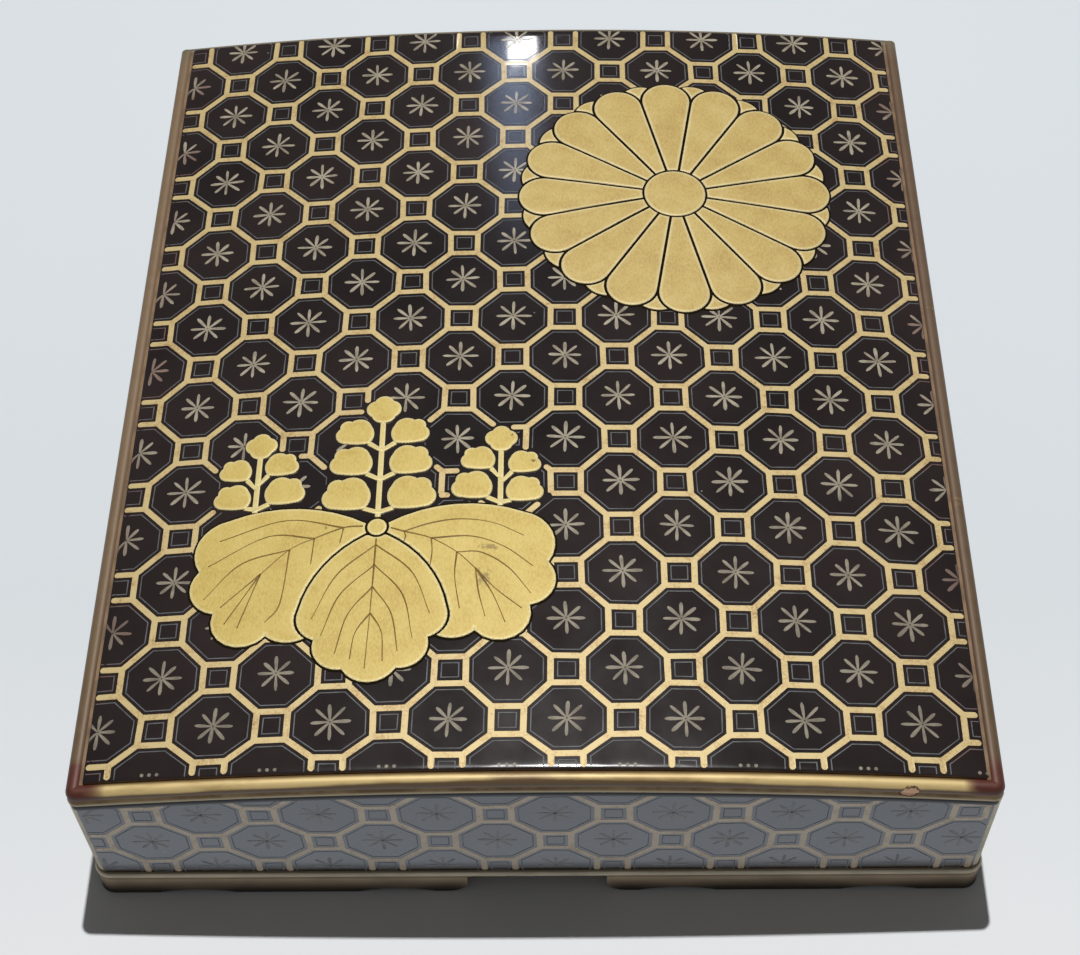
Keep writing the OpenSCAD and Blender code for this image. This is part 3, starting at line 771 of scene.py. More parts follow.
def ledgeFrame():
    top, foot, depth = baseShape["ledgeTop"], baseShape["ledgeFoot"], baseShape["depth"]
    bevelIn, bevelDown = baseShape["bevel"]
    deep, tall = baseShape["groove"]
    soft = baseShape["soft"]
    section = [(-depth, foot), (-depth, top), (-bevelIn - soft, top),
               (-bevelIn + soft * 0.5, top - soft * 0.5),
               (-soft * 0.4, top - bevelDown + soft), (0.0, top - bevelDown - soft * 0.6),
               (-soft * 0.5, foot + tall), (-deep, foot + tall), (-deep, foot)]
    stops = baseStations(baseShape["ledgeApart"])
    points, faces = sweptLoop(stops, [section] * len(stops))
    ledge = makePiece("base_ledge_frame", points, faces, [baseMoulding], "box",
                      baseShape["smooth"])
    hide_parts("base_ledge_front", "base_ledge_rear", "base_ledge_left", "base_ledge_right")


# How high a foot's lower edge lies, by the distance from the opening and the length of the arm
def footEdge(along, arm):
    length, height = baseShape["endRound"]
    if along < length:
        share = 1 - along / length
        return height * (1 - math.sqrt(max(1 - share * share, 0)))
    half, rise = baseShape["scallopWidth"] / 2, baseShape["scallopRise"]
    radius = (half * half + rise * rise) / (2 * rise)
    for middle in (baseShape["scallopFromGap"], arm - baseShape["scallopFromCorner"]):
        if abs(along - middle) < half:
            return rise - radius + math.sqrt(radius * radius - (along - middle) ** 2)
    return 0.0


def bracketFoot(name, signX, signY, stops):
    top, depth = baseShape["ledgeFoot"], baseShape["depth"]
    back = -baseShape["footSetBack"]
    cutIn, cutUp = baseShape["footEdge"]
    halfGap = baseShape["gap"] / 2
    arm, sections = [], []
    for stop in stops:
        atX, atY, outX, outY = stop
        straight = abs(outX) == 1 or abs(outY) == 1
        place, end = (abs(atX), baseHalfX) if abs(outY) == 1 else (abs(atY), baseHalfY)
        if atX * signX <= 0 or atY * signY <= 0 or (straight and place < halfGap):
            continue
        low = footEdge(place - halfGap, end - halfGap) if straight else 0.0
        flare = baseShape["flare"] * max(-outY, 0)  # at the front alone
        section = [(-depth, low), (-depth, top)]
        for t in np.linspace(0, 1, baseShape["footRows"]):
            section.append((back + flare * t * t, top + (low + cutUp - top) * t))
        section.append((back + flare - cutIn, low))
        arm.append(stop)
        sections.append(section)
    # the sweep starts where the arm does, after the jump over the opening
    first = next(i for i in range(len(arm)) if math.dist(arm[i][:2], arm[i - 1][:2]) > halfGap)
    arm, sections = arm[first:] + arm[:first], sections[first:] + sections[:first]
    points, faces = sweptLoop(arm, sections)
    wide = len(sections[0])
    faces = faces[:-wide]
    faces.append(list(range(wide))[::-1])
    faces.append(list(range(len(points) - wide, len(points))))
    foot = makePiece("bracket_foot_" + name, points, faces, [baseMoulding], "box",
                     baseShape["smooth"])
    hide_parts("foot_" + name)


ledgeFrame()
footStops = baseStations(baseShape["footApart"])
for end, signY in (("front_", -1), ("rear_", 1)):
    for side, signX in (("left", -1), ("right", 1)):
        bracketFoot(end + side, signX, signY, footStops)
print("base made")

# Outlines of the raised crests, in mm from the flower's middle and from the knot of the leaves
crestPlace = {"flower": (48.5, 70.0), "leaves": (-48.5, -70.0)}
crestGap = 0.8
flowerShape = {"petals": 16, "radius": 54.3, "centre": 10.6, "gap": 0.95, "rearShort": 0.3, "turn": 2.0}
knotRadius = 3.0
leafShape = {
    # x, y and bulge of the edge to the next point
    "middle": [(-3.1, -3, 3.7), (-22.3, -29.5, 2.5), (-17.1, -40, 3.7), (-8, -50.4, 4.6)],
    "right": [(3, -1.5, 0), (16, -36, 3.5), (31, -38, 7.6), (47.4, -29.3, 4.8), (53, -14, 5.3),
              (45.5, 4.5, 5), (3, 1.2, 0)],
    "middleWidth": 46.0,
    "leftWider": 1.022,  # the left leaf is drawn a little wider than the right one
}
sprayShape = {
    "stemWidth": 1.7,
    "stalkDrop": 7.0,
    "stalkHalf": 0.6,
    "stalkGap": 0.02,
    "side": [(-0.37, -0.37, 0.03), (0.24, -0.36, 0.18), (0.4, 0.11, 0.12), (0.1, 0.34, 0.14),
             (-0.41, 0.18, 0.1)],
    "tip": [(-0.056, -0.49, 0), (0.056, -0.49, 0.06), (0.34, -0.27, 0.2), (0.27, 0.285, 0.18),
            (-0.27, 0.285, 0.2), (-0.34, -0.27, 0.06)],
    "middleBlossoms": [(10.2, 12.8, 15.5), (9.4, 25.5, 13.8), (8.8, 37, 12.4)],
    "middleTip": (0, 46, 11.2),
    "rightOuter": [(45.5, 13.4, 11.9), (45.4, 23.8, 10.5)],
    "rightInner": [(30.8, 25.5, 11), (29.1, 15.1, 13)],
    "rightTip": (38, 33.2, 10.3),
    "rightFoot": 7.15,
    "leftShift": -0.8,  # the left spray stands this far from the mirrored place
}


def bulgedOutline(corners, steps=8):
    points = []
    for a, b in zip(corners, corners[1:] + corners[:1]):
        start, end = np.array(a[:2], float), np.array(b[:2], float)
        chord = np.linalg.norm(end - start)
        along = (end - start) / chord
        out = np.array([along[1], -along[0]])
        if a[2] == 0:
            points.append(start)
            continue
        half = 2 * math.atan(2 * a[2] / chord)
        radius = chord / (2 * math.sin(half))
        for i in range(steps):
            turn = (2 * i / steps - 1) * half
            points.append((start + end) / 2 + along * radius * math.sin(turn)
                          + out * (radius * math.cos(turn) - radius + a[2]))
    return [tuple(p) for p in points]


def mirroredCorners(half):
    last = len(half) - 1
    other = [(-half[i][0], half[i][1], half[i - 1][2] if i > 0 else 0) for i in range(last, -1, -1)]
    return list(half) + other


def circlePoints(radius, count=64, centre=(0.0, 0.0)):
    angles = [2 * math.pi * i / count for i in range(count)]
    return [(centre[0] + radius * math.cos(a), centre[1] + radius * math.sin(a)) for a in angles]


def turned(points, degrees):
    c, s = math.cos(math.radians(degrees)), math.sin(math.radians(degrees))
    return [(x * c - y * s, x * s + y * c) for x, y in points]


def flipped(points):
    return [(-x, y) for x, y in reversed(points)]


def petalOutline(grow=0.0, steps=12):
    half = math.pi / flowerShape["petals"]
    endD = (flowerShape["radius"] + flowerShape["gap"] / 2) / (1 + math.sin(half))
    endR = flowerShape["radius"] - endD
    lean = math.asin((endR + flowerShape["gap"] / 2) / endD)
    startR = flowerShape["centre"] + crestGap
    shift = flowerShape["gap"] / 2 - grow
    start = (startR * math.cos(lean) + shift * math.sin(lean),
             startR * math.sin(lean) - shift * math.cos(lean))
    sweep = math.pi / 2 + lean
    edgeR = endR + grow
    arc = [(endD + edgeR * math.cos(i * sweep / steps), edgeR * math.sin(i * sweep / steps))
           for i in range(-steps, steps + 1)]
    return [(start[0], -start[1])] + arc + [start], endD, endR


def leafOutline(grow=0.0):
    points = bulgedOutline(mirroredCorners(leafShape["middle"]))
    middleY = leafShape["middle"][1][1]
    scale = 1 + 2 * grow / leafShape["middleWidth"]
    return [(x * scale, (y - middleY) * scale + middleY) for x, y in points]


# A blossom beside the stem, or the one at its tip, which has no stemX
def blossomOutline(place, stemX=None):
    x, y, width = place
    corners = sprayShape["tip" if stemX is None else "side"]
    shape = bulgedOutline([tuple(c * width for c in corner) for corner in corners])
    if stemX is not None and x < stemX:
        shape = flipped(shape)
    return [(px + x, py + y) for px, py in shape]


def stalkPoints(stemX, footY, place):
    x, y, width = place
    side = 1 if x > stemX else -1
    half, gap = sprayShape["stalkHalf"], sprayShape["stalkGap"]
    tip = (x + side * width * sprayShape["side"][0][0] - gap * side,
           y + width * sprayShape["side"][0][1] - gap)
    stem = sprayShape["stemWidth"]
    rootY = max(footY + stem / 2 + half, y - sprayShape["stalkDrop"])
    edge = stemX + side * stem / 2
    return [(edge, rootY - stem / 2), (tip[0] + half * side, tip[1] - half),
            (tip[0] - half * side, tip[1] + half), (edge, rootY + stem / 2)]


def stemOutline(stemX, footY, topY, right, left):
    half = sprayShape["stemWidth"] / 2
    points = [(stemX - half, footY), (stemX + half, footY)]
    for place in right:
        points += stalkPoints(stemX, footY, place)
    points += [(stemX + half, topY), (stemX - half, topY)]
    for place in left:
        points += reversed(stalkPoints(stemX, footY, place))
    return points


def sprayOutlines(tip, footY, right, left):
    topY = tip[1] + tip[2] * sprayShape["tip"][0][1] - sprayShape["stalkGap"]
    stem = stemOutline(tip[0], footY, topY, right, left)
    return [stem] + [blossomOutline(b, tip[0]) for b in right + left] + [blossomOutline(tip)]


# Points and triangles of overlapping outlines, each triangle with the numbers of the outlines that it lies in
mergeGap = 1e-4


def tessellated(outlines):
    points, loops = [], []
    for loop in outlines:
        loops.append(list(range(len(points), len(points) + len(loop))))
        points += [Vector(p) for p in loop]
    found = delaunay_2d_cdt(points, [], loops, 0, mergeGap)
    return found[0], list(zip(found[2], found[5]))


# Flat region of an outline less its cutters, as border points and border edges
def cutRegion(outline, cutters):
    spots, triangles = tessellated([outline, *cutters])
    kept = [face for face, source in triangles if list(source) == [0]]
    count = {}
    for face in kept:
        for a, b in zip(face, face[1:] + face[:1]):
            count[(a, b)] = count.get((a, b), 0) + 1
    border = [(a, b) for a, b in count if (b, a) not in count]
    used = sorted({a for edge in border for a in edge})
    index = {a: i for i, a in enumerate(used)}
    place = np.array([spots[a][:] for a in used])
    return place, [(index[a], index[b]) for a, b in border]


def borderDistance(points, place, border):
    points = np.asarray(points, float).reshape(-1, 2)
    a = place[[e[0] for e in border]]
    b = place[[e[1] for e in border]]
    run = b - a
    lengths = np.maximum((run ** 2).sum(1), 1e-12)
    offset = points[:, None, :] - a[None]
    t = np.clip((offset * run).sum(2) / lengths, 0, 1)
    gaps = np.linalg.norm(offset - t[..., None] * run, axis=2).min(1)
    above = (a[:, 1] > points[:, 1, None]) != (b[:, 1] > points[:, 1, None])
    slope = np.where(np.abs(run[:, 1]) < 1e-12, 1e-12, run[:, 1])
    crossX = a[:, 0] + (points[:, 1, None] - a[:, 1]) / slope * run[:, 0]
    inside = (above & (crossX > points[:, 0, None])).sum(1) % 2 == 1
    return np.where(inside, gaps, -gaps)


# Height of the built-up gold above the lacquer, by distance from the piece's border
crestRelief = {
    "wall": 0.36,
    "round": 0.18,
    "roundRise": 0.1,
    "crown": 0.06,
    "crownReach": 5.0,
    "edgeWidth": 0.8,
    "sunk": 0.05,  # the underside lies this deep in the lacquer
    "rings": (0.08, 0.2, 0.5, 1.1),  # rows of points along the border, and the spacing along them
    "ringApart": 0.9,
    "gridApart": 1.5,
    "gridFrom": 1.7,
    "smooth": 50,
}


def reliefHeight(distance):
    share = np.clip(distance / crestRelief["round"], 0, 1)
    swell = np.clip(distance / crestRelief["crownReach"], 0, 1)
    return (crestRelief["wall"] + crestRelief["roundRise"] * np.sqrt(1 - (1 - share) ** 2)
            + crestRelief["crown"] * (1 - (1 - swell) ** 2))


# Soft dents and wrinkles pressed into the gold, in mm on the lid: place, reach and depth
dentShape = {
    "dents": [((12, 66), 24, 0.1), ((16, 50), 20, 0.07), ((-14, -88), 14, 0.05), ((24, 92), 20, 0.05)],
    "wrinkle": (9.0, 3.2, 4.0),  # length, width and row of the noise
    "least": 0.02,
    "unevenDepth": 0.012,
    "uneven": (7.0, 7.0, 9.0),
}


def dentHeight(x, y):
    total = 0.0
    long, wide, row = dentShape["wrinkle"]
    for (cx, cy), reach, depth in dentShape["dents"]:
        fade = math.exp(-((x - cx) ** 2 + (y - cy) ** 2) / (reach * reach))
        if fade > dentShape["least"]:
            total += depth * fade * noise.noise(Vector((x / long, y / wide, row)))
    long, wide, row = dentShape["uneven"]
    return total + dentShape["unevenDepth"] * noise.noise(Vector((x / long, y / wide, row)))


def surfacePoint(x, y, height):
    return (x, y, panelZ(x, y) + height)


def domedMesh(centre, place, border):
    low, high = place.min(0), place.max(0)
    spacing = crestRelief["gridApart"]
    rings = []
    for depth in crestRelief["rings"]:
        for i, j in border:
            run = place[j] - place[i]
            length = np.linalg.norm(run)
            normal = np.array([-run[1], run[0]]) / max(length, 1e-9)
            count = max(1, round(length / crestRelief["ringApart"]))
            for k in range(count):
                rings.append((*(place[i] + run * (k + 0.5) / count + normal * depth), depth))
    rings = np.array(rings)
    rings = rings[borderDistance(rings[:, :2], place, border) > rings[:, 2] * 0.97]
    grid = []
    for row, y in enumerate(np.arange(low[1], high[1], spacing * 0.866)):  # rows of even triangles
        for x in np.arange(low[0] + (row % 2) * spacing / 2, high[0], spacing):
            grid.append((x, y))
    grid = np.array(grid)
    grid = grid[borderDistance(grid, place, border) > crestRelief["gridFrom"]]
    everything = np.vstack([place, rings[:, :2], grid])
    found = delaunay_2d_cdt([Vector(p) for p in everything], border, [], 0, mergeGap)
    flat = np.array([v[:] for v in found[0]])
    faces = np.array(found[2])
    faces = faces[borderDistance(flat[faces].mean(1), place, border) > 0]
    depths = np.maximum(borderDistance(flat, place, border), 0)
    heights = reliefHeight(depths)
    edge = list(np.clip(1 - depths / crestRelief["edgeWidth"], 0, 1))
    points = []
    for (x, y), h in zip(flat, heights):
        wx, wy = x + centre[0], y + centre[1]
        points.append(surfacePoint(wx, wy, h + dentHeight(wx, wy)))
    base = len(points)
    points += [surfacePoint(x + centre[0], y + centre[1], -crestRelief["sunk"]) for x, y in flat]
    shell = [list(map(int, f)) for f in faces]
    under = [[k + base for k in reversed(f)] for f in shell]
    used = {(a, b) for f in shell for a, b in zip(f, f[1:] + f[:1])}
    sides = [[b, a, a + base, b + base] for a, b in used if (b, a) not in used]
    return points, shell + under + sides, edge + edge


def crestPiece(name, node, centre, regions, material):
    points, faces, edge = [], [], []
    for outline, cutters in regions:
        place, border = cutRegion(outline, cutters)
        newPoints, newFaces, newEdge = domedMesh(centre, place, border)
        base = len(points)
        points += newPoints
        edge += newEdge
        faces += [[k + base for k in f] for f in newFaces]
    used = sorted({k for f in faces for k in f})
    index = {k: i for i, k in enumerate(used)}
    faces = [[index[k] for k in f] for f in faces]
    piece = makePiece(name, [points[k] for k in used], faces, [material], "lid",
                      crestRelief["smooth"], edge=[edge[k] for k in used])
    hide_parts(node)


petal, petalEndD, petalEndR = petalOutline()
step = 360 / flowerShape["petals"]
angles = [flowerShape["turn"] + 90 + i * step for i in range(flowerShape["petals"])]
hub = circlePoints(flowerShape["centre"] + crestGap)
grown = petalOutline(flowerShape["gap"])[0]
rear = circlePoints(petalEndR, 64, (petalEndD - flowerShape["rearShort"], 0))
rearCutters = [turned(grown, -step / 2), turned(grown, step / 2), circlePoints(petalEndD, 180)]
flowerPieces = {
    "front_petals": [(turned(petal, a), [hub]) for a in angles],
    "rear_petals": [(turned(rear, a + step / 2), [turned(c, a + step / 2) for c in rearCutters])
                    for a in angles],
    "centre": [(circlePoints(flowerShape["centre"]), [])],
}
for part, regions in flowerPieces.items():
    crestPiece("flower_" + part, "chrysanthemum_" + part, crestPlace["flower"], regions, petalGold)
print("flower crest made")

knotClear = circlePoints(knotRadius + crestGap)
rightLeaf = bulgedOutline(leafShape["right"])
leftLeaf = [(x * leafShape["leftWider"], y) for x, y in flipped(rightLeaf)]
leafCutters = [leafOutline(crestGap), knotClear]
leaves = {
    "middle": (leafOutline(), [knotClear]),
    "right": (rightLeaf, leafCutters),
    "left": (leftLeaf, leafCutters),
}
for side, region in leaves.items():
    crestPiece("leaf_" + side, f"paulownia_{side}_leaf", crestPlace["leaves"], [region], leafGold)
knot = [(circlePoints(knotRadius, 40), [])]
crestPiece("leaf_knot", "paulownia_knot", crestPlace["leaves"], knot, leafGold)
leftOfMiddle = [(-x, y, w) for x, y, w in reversed(sprayShape["middleBlossoms"])]
sprays = {
    "middle": sprayOutlines(sprayShape["middleTip"], knotRadius + crestGap,
                            sprayShape["middleBlossoms"], leftOfMiddle),
    "right": sprayOutlines(sprayShape["rightTip"], sprayShape["rightFoot"], sprayShape["rightOuter"],
                           sprayShape["rightInner"]),
}
sprays["left"] = [[(x + sprayShape["leftShift"], y) for x, y in flipped(loop)] for loop in sprays["right"]]
for side, loops in sprays.items():
    regions = [(loop, []) for loop in loops]
    crestPiece("spray_" + side, f"paulownia_{side}_spray", crestPlace["leaves"], regions, leafGold)
print("leaf crest made")

# Veins of the leaves, in mm from the knot: each a smooth run through its points
veinShape = {
    "width": 0.56,
    "thinner": 0.45,  # share of its width that a vein loses towards its end
    "sway": (0.9, 0.2, 7),  # least share of the width, what comes and goes, and how fast
    "lift": 0.04,
    "depth": 0.06,
    "smooth": 60,
    "middle": [
        [(0, -4.4), (-0.4, -26), (-1.2, -50.5)],
        [(0, -6.7), (-11.5, -17.5), (-18.1, -32.7)], [(0, -14.1), (-10, -24.5), (-15, -38.8)],
        [(-0.2, -22), (-7.2, -31.5), (-10.4, -45.1)], [(-0.4, -31.3), (-4.6, -38), (-5.8, -47.1)],
        [(0, -6.7), (11.5, -17), (17.4, -31.8)], [(0, -14.1), (9, -25), (12.5, -40.2)],
        [(-0.2, -22), (5.8, -31.5), (8.3, -44.8)], [(-0.4, -31.3), (3.2, -38), (4, -48.1)],
    ],
    "right": [
        [(4.3, -0.5), (8.5, -2), (17, -4.8), (25, -10.1), (30.8, -16.1)],
        [(30.8, -16.1), (37, -23.5), (45, -30.6)], [(30.8, -16.1), (36, -25), (40.1, -35.5)],
        [(30.8, -16.1), (32, -25), (34.1, -33.4)],
        [(8.5, -2), (9, -3.8), (8.6, -5.8)], [(17, -4.8), (17.4, -9.5), (17, -14.6)],
        [(25, -10.1), (24.6, -19), (26.3, -30.4)],
        [(8.5, -2), (17, 0.9), (26, 2.1), (36, 0.5), (45.5, -4.4)],
        [(17, -4.8), (29.4, -4.4), (39.5, -8.4), (48.2, -15.5)],
        [(25, -10.1), (32.5, -10.4), (40.8, -16), (47.7, -25.3)],
    ],
    "left": [
        [(-4.3, 0.4), (-10.3, 0), (-19.2, -3.6), (-26.6, -7.4), (-35, -16)],
        [(-35, -16), (-46.3, -27.3)], [(-35, -16), (-44.6, -33.3)], [(-35, -16), (-40.5, -34.9)],
        [(-10.3, 0), (-11.2, -5.7)], [(-19.2, -3.6), (-19.7, -13.1)],
        [(-26.6, -7.4), (-28.1, -26.6), (-32.2, -33.3)],
        [(-10.3, 0), (-28.4, 3.5), (-48.8, -3.1)],
        [(-19.2, -3.6), (-33.8, -2.3), (-51.6, -12.3)],
        [(-26.6, -7.4), (-41.3, -12), (-51.8, -24.2)],
    ],
}


def smoothRun(points, count=18):
    points = [np.array(p, float) for p in points]
    points = [2 * points[0] - points[1]] + points + [2 * points[-1] - points[-2]]
    found = []
    for a, b, c, d in zip(points, points[1:], points[2:], points[3:]):
        for k in range(count):
            t = k / count
            found.append(0.5 * (2 * b + (c - a) * t + (2 * a - 5 * b + 4 * c - d) * t * t
                                + (3 * b - a - 3 * c + d) * t ** 3))
    found.append(points[-2])
    return found


def leafVeins(name, runs, outline, cutters):
    place, border = cutRegion(outline, cutters)
    centre = crestPlace["leaves"]
    least, more, often = veinShape["sway"]
    points, faces = [], []
    for run in runs:
        path = smoothRun(run)
        base = len(points)
        for i, p in enumerate(path):
            ahead = path[min(i + 1, len(path) - 1)] - path[max(i - 1, 0)]
            normal = np.array([-ahead[1], ahead[0]]) / max(np.linalg.norm(ahead), 1e-9)
            t = i / (len(path) - 1)
            half = veinShape["width"] / 2 * (1 - veinShape["thinner"] * t)
            half *= least + more * math.sin(often * t + base)
            for offset in (half, -half):
                x, y = p + normal * offset
                height = float(reliefHeight(np.maximum(borderDistance([(x, y)], place, border), 0))[0])
                wx, wy = x + centre[0], y + centre[1]
                points.append(surfacePoint(wx, wy, height + dentHeight(wx, wy) + veinShape["lift"]))
        for i in range(len(path) - 1):
            k = base + 2 * i
            faces.append([k, k + 1, k + 3, k + 2])
    veins = makePiece(name, points, faces, [veinLine], "lid", veinShape["smooth"])
    thicken(veins, veinShape["depth"])


for side, region in leaves.items():
    leafVeins("veins_" + side, veinShape[side], *region)
print("veins made")

# The drawn lattice: octagons and small squares in gold, a thin silver line inside each, a star in
# each octagon. Lengths in mm; shares are of the half pitch
latticeShape = {
    "goldWidth": 1.9,
    "silverInset": 2.1,
    "silverWidth": 0.33,
    "squareHalf": 0.27,
    "starRadius": 5.95,
    "starShift": 0.59,
    "starTilt": 0.06,
    "starSize": (0.95, 1.04),
    "petalWidth": 1.12,
    "petalTurn": 0.05,
    "petalLength": (0.92, 1.05),
    "petalSpread": (0.85, 1.15),
    "petalProfile": [(0.03, 0.4), (0.25, 0.65), (0.5, 0.9), (0.72, 1.0), (0.88, 0.85), (0.97, 0.45)],
    "petalRoom": 0.3,
    "wobble": 0.16,
    "lift": 0.09,
    "depth": 0.14,
    "endGap": 0.7,
    "stubLift": 0.012,  # cut strokes lie this much over the whole ones that they meet
    "shortest": 0.6,  # a cut stroke shorter than this is left out
    "edgeRoom": 0.25,
}


def insetLoop(loop, distance):
    count = len(loop)
    lines = []
    for a, b in zip(loop, loop[1:] + loop[:1]):
        run = (b - a) / np.linalg.norm(b - a)
        lines.append((a + np.array([-run[1], run[0]]) * distance, run))
    found = []
    for i in range(count):
        (p, r), (q, s) = lines[i - 1], lines[i]
        cross = r[0] * s[1] - r[1] * s[0]
        t = ((q - p)[0] * s[1] - (q - p)[1] * s[0]) / cross
        found.append(p + r * t)
    return found


def keptRun(a, b, clear, need, count=40):
    ts = np.linspace(0, 1, count + 1)
    free = clear(a + (b - a) * ts[:, None]) >= need
    best, start = None, None
    for i, good in enumerate(list(free) + [False]):
        if good and start is None:
            start = i
        if not good and start is not None:
            if best is None or i - 1 - start > best[1] - best[0]:
                best = (start, i - 1)
            start = None
    return None if best is None or best[1] == best[0] else (ts[best[0]], ts[best[1]])


def capsule(a, b, half, roundA, roundB):
    run = (b - a) / max(np.linalg.norm(b - a), 1e-9)
    side = np.array([-run[1], run[0]])
    loop = []
    for end, way, rounded in ((b, 1, roundB), (a, -1, roundA)):
        steps = 8 if rounded else 1
        for k in range(steps + 1):
            turn = math.pi * (k / steps - 0.5)
            ahead = math.cos(turn) if rounded else 0.0
            loop.append(end + half * (run * ahead * way + side * math.sin(turn) * way))
    return loop


def starLoops(centre, draw):
    loops = []
    tilt = draw.uniform(-latticeShape["starTilt"], latticeShape["starTilt"])
    size = latticeShape["starRadius"] * draw.uniform(*latticeShape["starSize"])
    profile = latticeShape["petalProfile"]
    for k in range(8):
        turn = math.pi / 4 * k + tilt + draw.uniform(-latticeShape["petalTurn"], latticeShape["petalTurn"])
        run = np.array([math.cos(turn), math.sin(turn)])
        side = np.array([-run[1], run[0]])
        reach = size * draw.uniform(*latticeShape["petalLength"])
        half = latticeShape["petalWidth"] / 2 * draw.uniform(*latticeShape["petalSpread"])
        loop = [centre + run * reach * r - side * half * w for r, w in profile]
        loop.append(centre + run * reach)
        loop += [centre + run * reach * r + side * half * w for r, w in reversed(profile)]
        loops.append(loop)
    return loops


def drawLattice(name, pitch, origin, reach, clear, toSurface, seed, finish, tipRoom, edgeRow=None):
    draw = random.Random(seed)
    corners = {}
    countX = int(reach[0] / pitch[0]) + 3
    countY = int(reach[1] / pitch[1]) + 3
    startI, startJ = round(-origin[0] / pitch[0]), round(-origin[1] / pitch[1])

    def centreOf(i, j):
        return np.array([origin[0] + i * pitch[0], origin[1] + j * pitch[1]])

    def cornerOf(i, j, sx, sy):
        key = (i, j, sx, sy)
        if key not in corners:
            share = latticeShape["squareHalf"]
            shift = [draw.uniform(-1, 1) * latticeShape["wobble"] for _ in range(2)]
            corners[key] = centreOf(i, j) + np.array([sx * share * pitch[0], sy * share * pitch[1]]) + shift
            if edgeRow and j == edgeRow["row"] and sy > 0:
                corners[key] = corners[key] + np.array([0, edgeRow["squaresUp"]])
        return key

    cells, stars, dots = [], [], []
    for j in range(startJ - countY, startJ + countY + 1):
        for i in range(startI - countX, startI + countX + 1):
            middle = centreOf(i, j)
            if abs(middle[0]) > reach[0] + pitch[0] or abs(middle[1]) > reach[1] + pitch[1]:
                continue
            if (i + j) % 2:
                cells.append([cornerOf(i, j, *s) for s in ((-1, -1), (1, -1), (1, 1), (-1, 1))])
            else:
                cells.append([
                    cornerOf(i + 1, j, -1, -1), cornerOf(i + 1, j, -1, 1),
                    cornerOf(i, j + 1, 1, -1), cornerOf(i, j + 1, -1, -1),
                    cornerOf(i - 1, j, 1, 1), cornerOf(i - 1, j, 1, -1),
                    cornerOf(i, j - 1, -1, 1), cornerOf(i, j - 1, 1, 1),
                ])
                if edgeRow and j == edgeRow["row"]:
                    dots += [(middle[0] + k * edgeRow["dotApart"], edgeRow["dotY"]) for k in (-1, 0, 1)]
                else:
                    stars.append(middle + np.array([0, latticeShape["starShift"]]))
    gold, stubs, silver, petals = [], [], [], []
    half = latticeShape["goldWidth"] / 2
    goldNeed = half + latticeShape["endGap"]
    runs = {}
    for cell in cells:
        loop = [corners[key] for key in cell]
        goldLoop = insetLoop(loop, half)
        silverOut = insetLoop(loop, latticeShape["silverInset"] - latticeShape["silverWidth"] / 2)
        silverIn = insetLoop(loop, latticeShape["silverInset"] + latticeShape["silverWidth"] / 2)
        for k in range(len(cell)):
            n = (k + 1) % len(cell)
            pair = tuple(sorted((cell[k], cell[n])))
            if pair not in runs:
                a, b = corners[pair[0]], corners[pair[1]]
                runs[pair] = keptRun(a, b, clear, goldNeed)
                if runs[pair] and runs[pair] != (0.0, 1.0):
                    t0, t1 = runs[pair]
                    if (t1 - t0) * np.linalg.norm(b - a) > latticeShape["shortest"]:
                        stubs.append(capsule(a + (b - a) * t0, a + (b - a) * t1, half, True, True))
            if runs[pair] == (0.0, 1.0):
                gold.append([loop[k], loop[n], goldLoop[n], goldLoop[k]])
            kept = keptRun(silverOut[k], silverOut[n], clear, latticeShape["endGap"])
            if kept:
                t0, t1 = kept
                line = [silverOut[k] + (silverOut[n] - silverOut[k]) * t for t in (t0, t1)]
                line += [silverIn[k] + (silverIn[n] - silverIn[k]) * t for t in (t1, t0)]
                silver.append(line)
    limit = np.array(reach) - latticeShape["edgeRoom"]
    for centre in stars:
        loops = starLoops(centre, draw)
        middles = np.array([np.mean(loop, axis=0) for loop in loops])
        loops = [[np.clip(p, -limit, limit) for p in loop] for loop in loops]
        tips = np.array([loop[len(latticeShape["petalProfile"])] for loop in loops])
        free = (clear(middles) > latticeShape["petalRoom"]) & (clear(tips) > tipRoom)
        petals += [loop for loop, good in zip(loops, free) if good]
    if dots:
        spots = [spot for spot, room in zip(dots, clear(dots)) if room > latticeShape["petalRoom"]]
        petals += [circlePoints(edgeRow["dotRadius"], 12, spot) for spot in spots]
    drawn = {"gold_lattice": gold + stubs, "silver_lines": silver, "stars": petals}
    for (kind, loops), material in zip(drawn.items(), finish):
        points, faces = [], []
        for k, loop in enumerate(loops):
            lift = latticeShape["lift"]
            if kind == "gold_lattice" and k >= len(gold):
                lift += latticeShape["stubLift"] * (1 + k % 3)
            faces.append(list(range(len(points), len(points) + len(loop))))
            points += [toSurface(p[0], p[1], lift) for p in loop]
        piece = makePiece(f"{name}_{kind}", points, faces, [material], "lid")
        thicken(piece, latticeShape["depth"])
    print(name, "lattice:", {kind: len(loops) for kind, loops in drawn.items()})


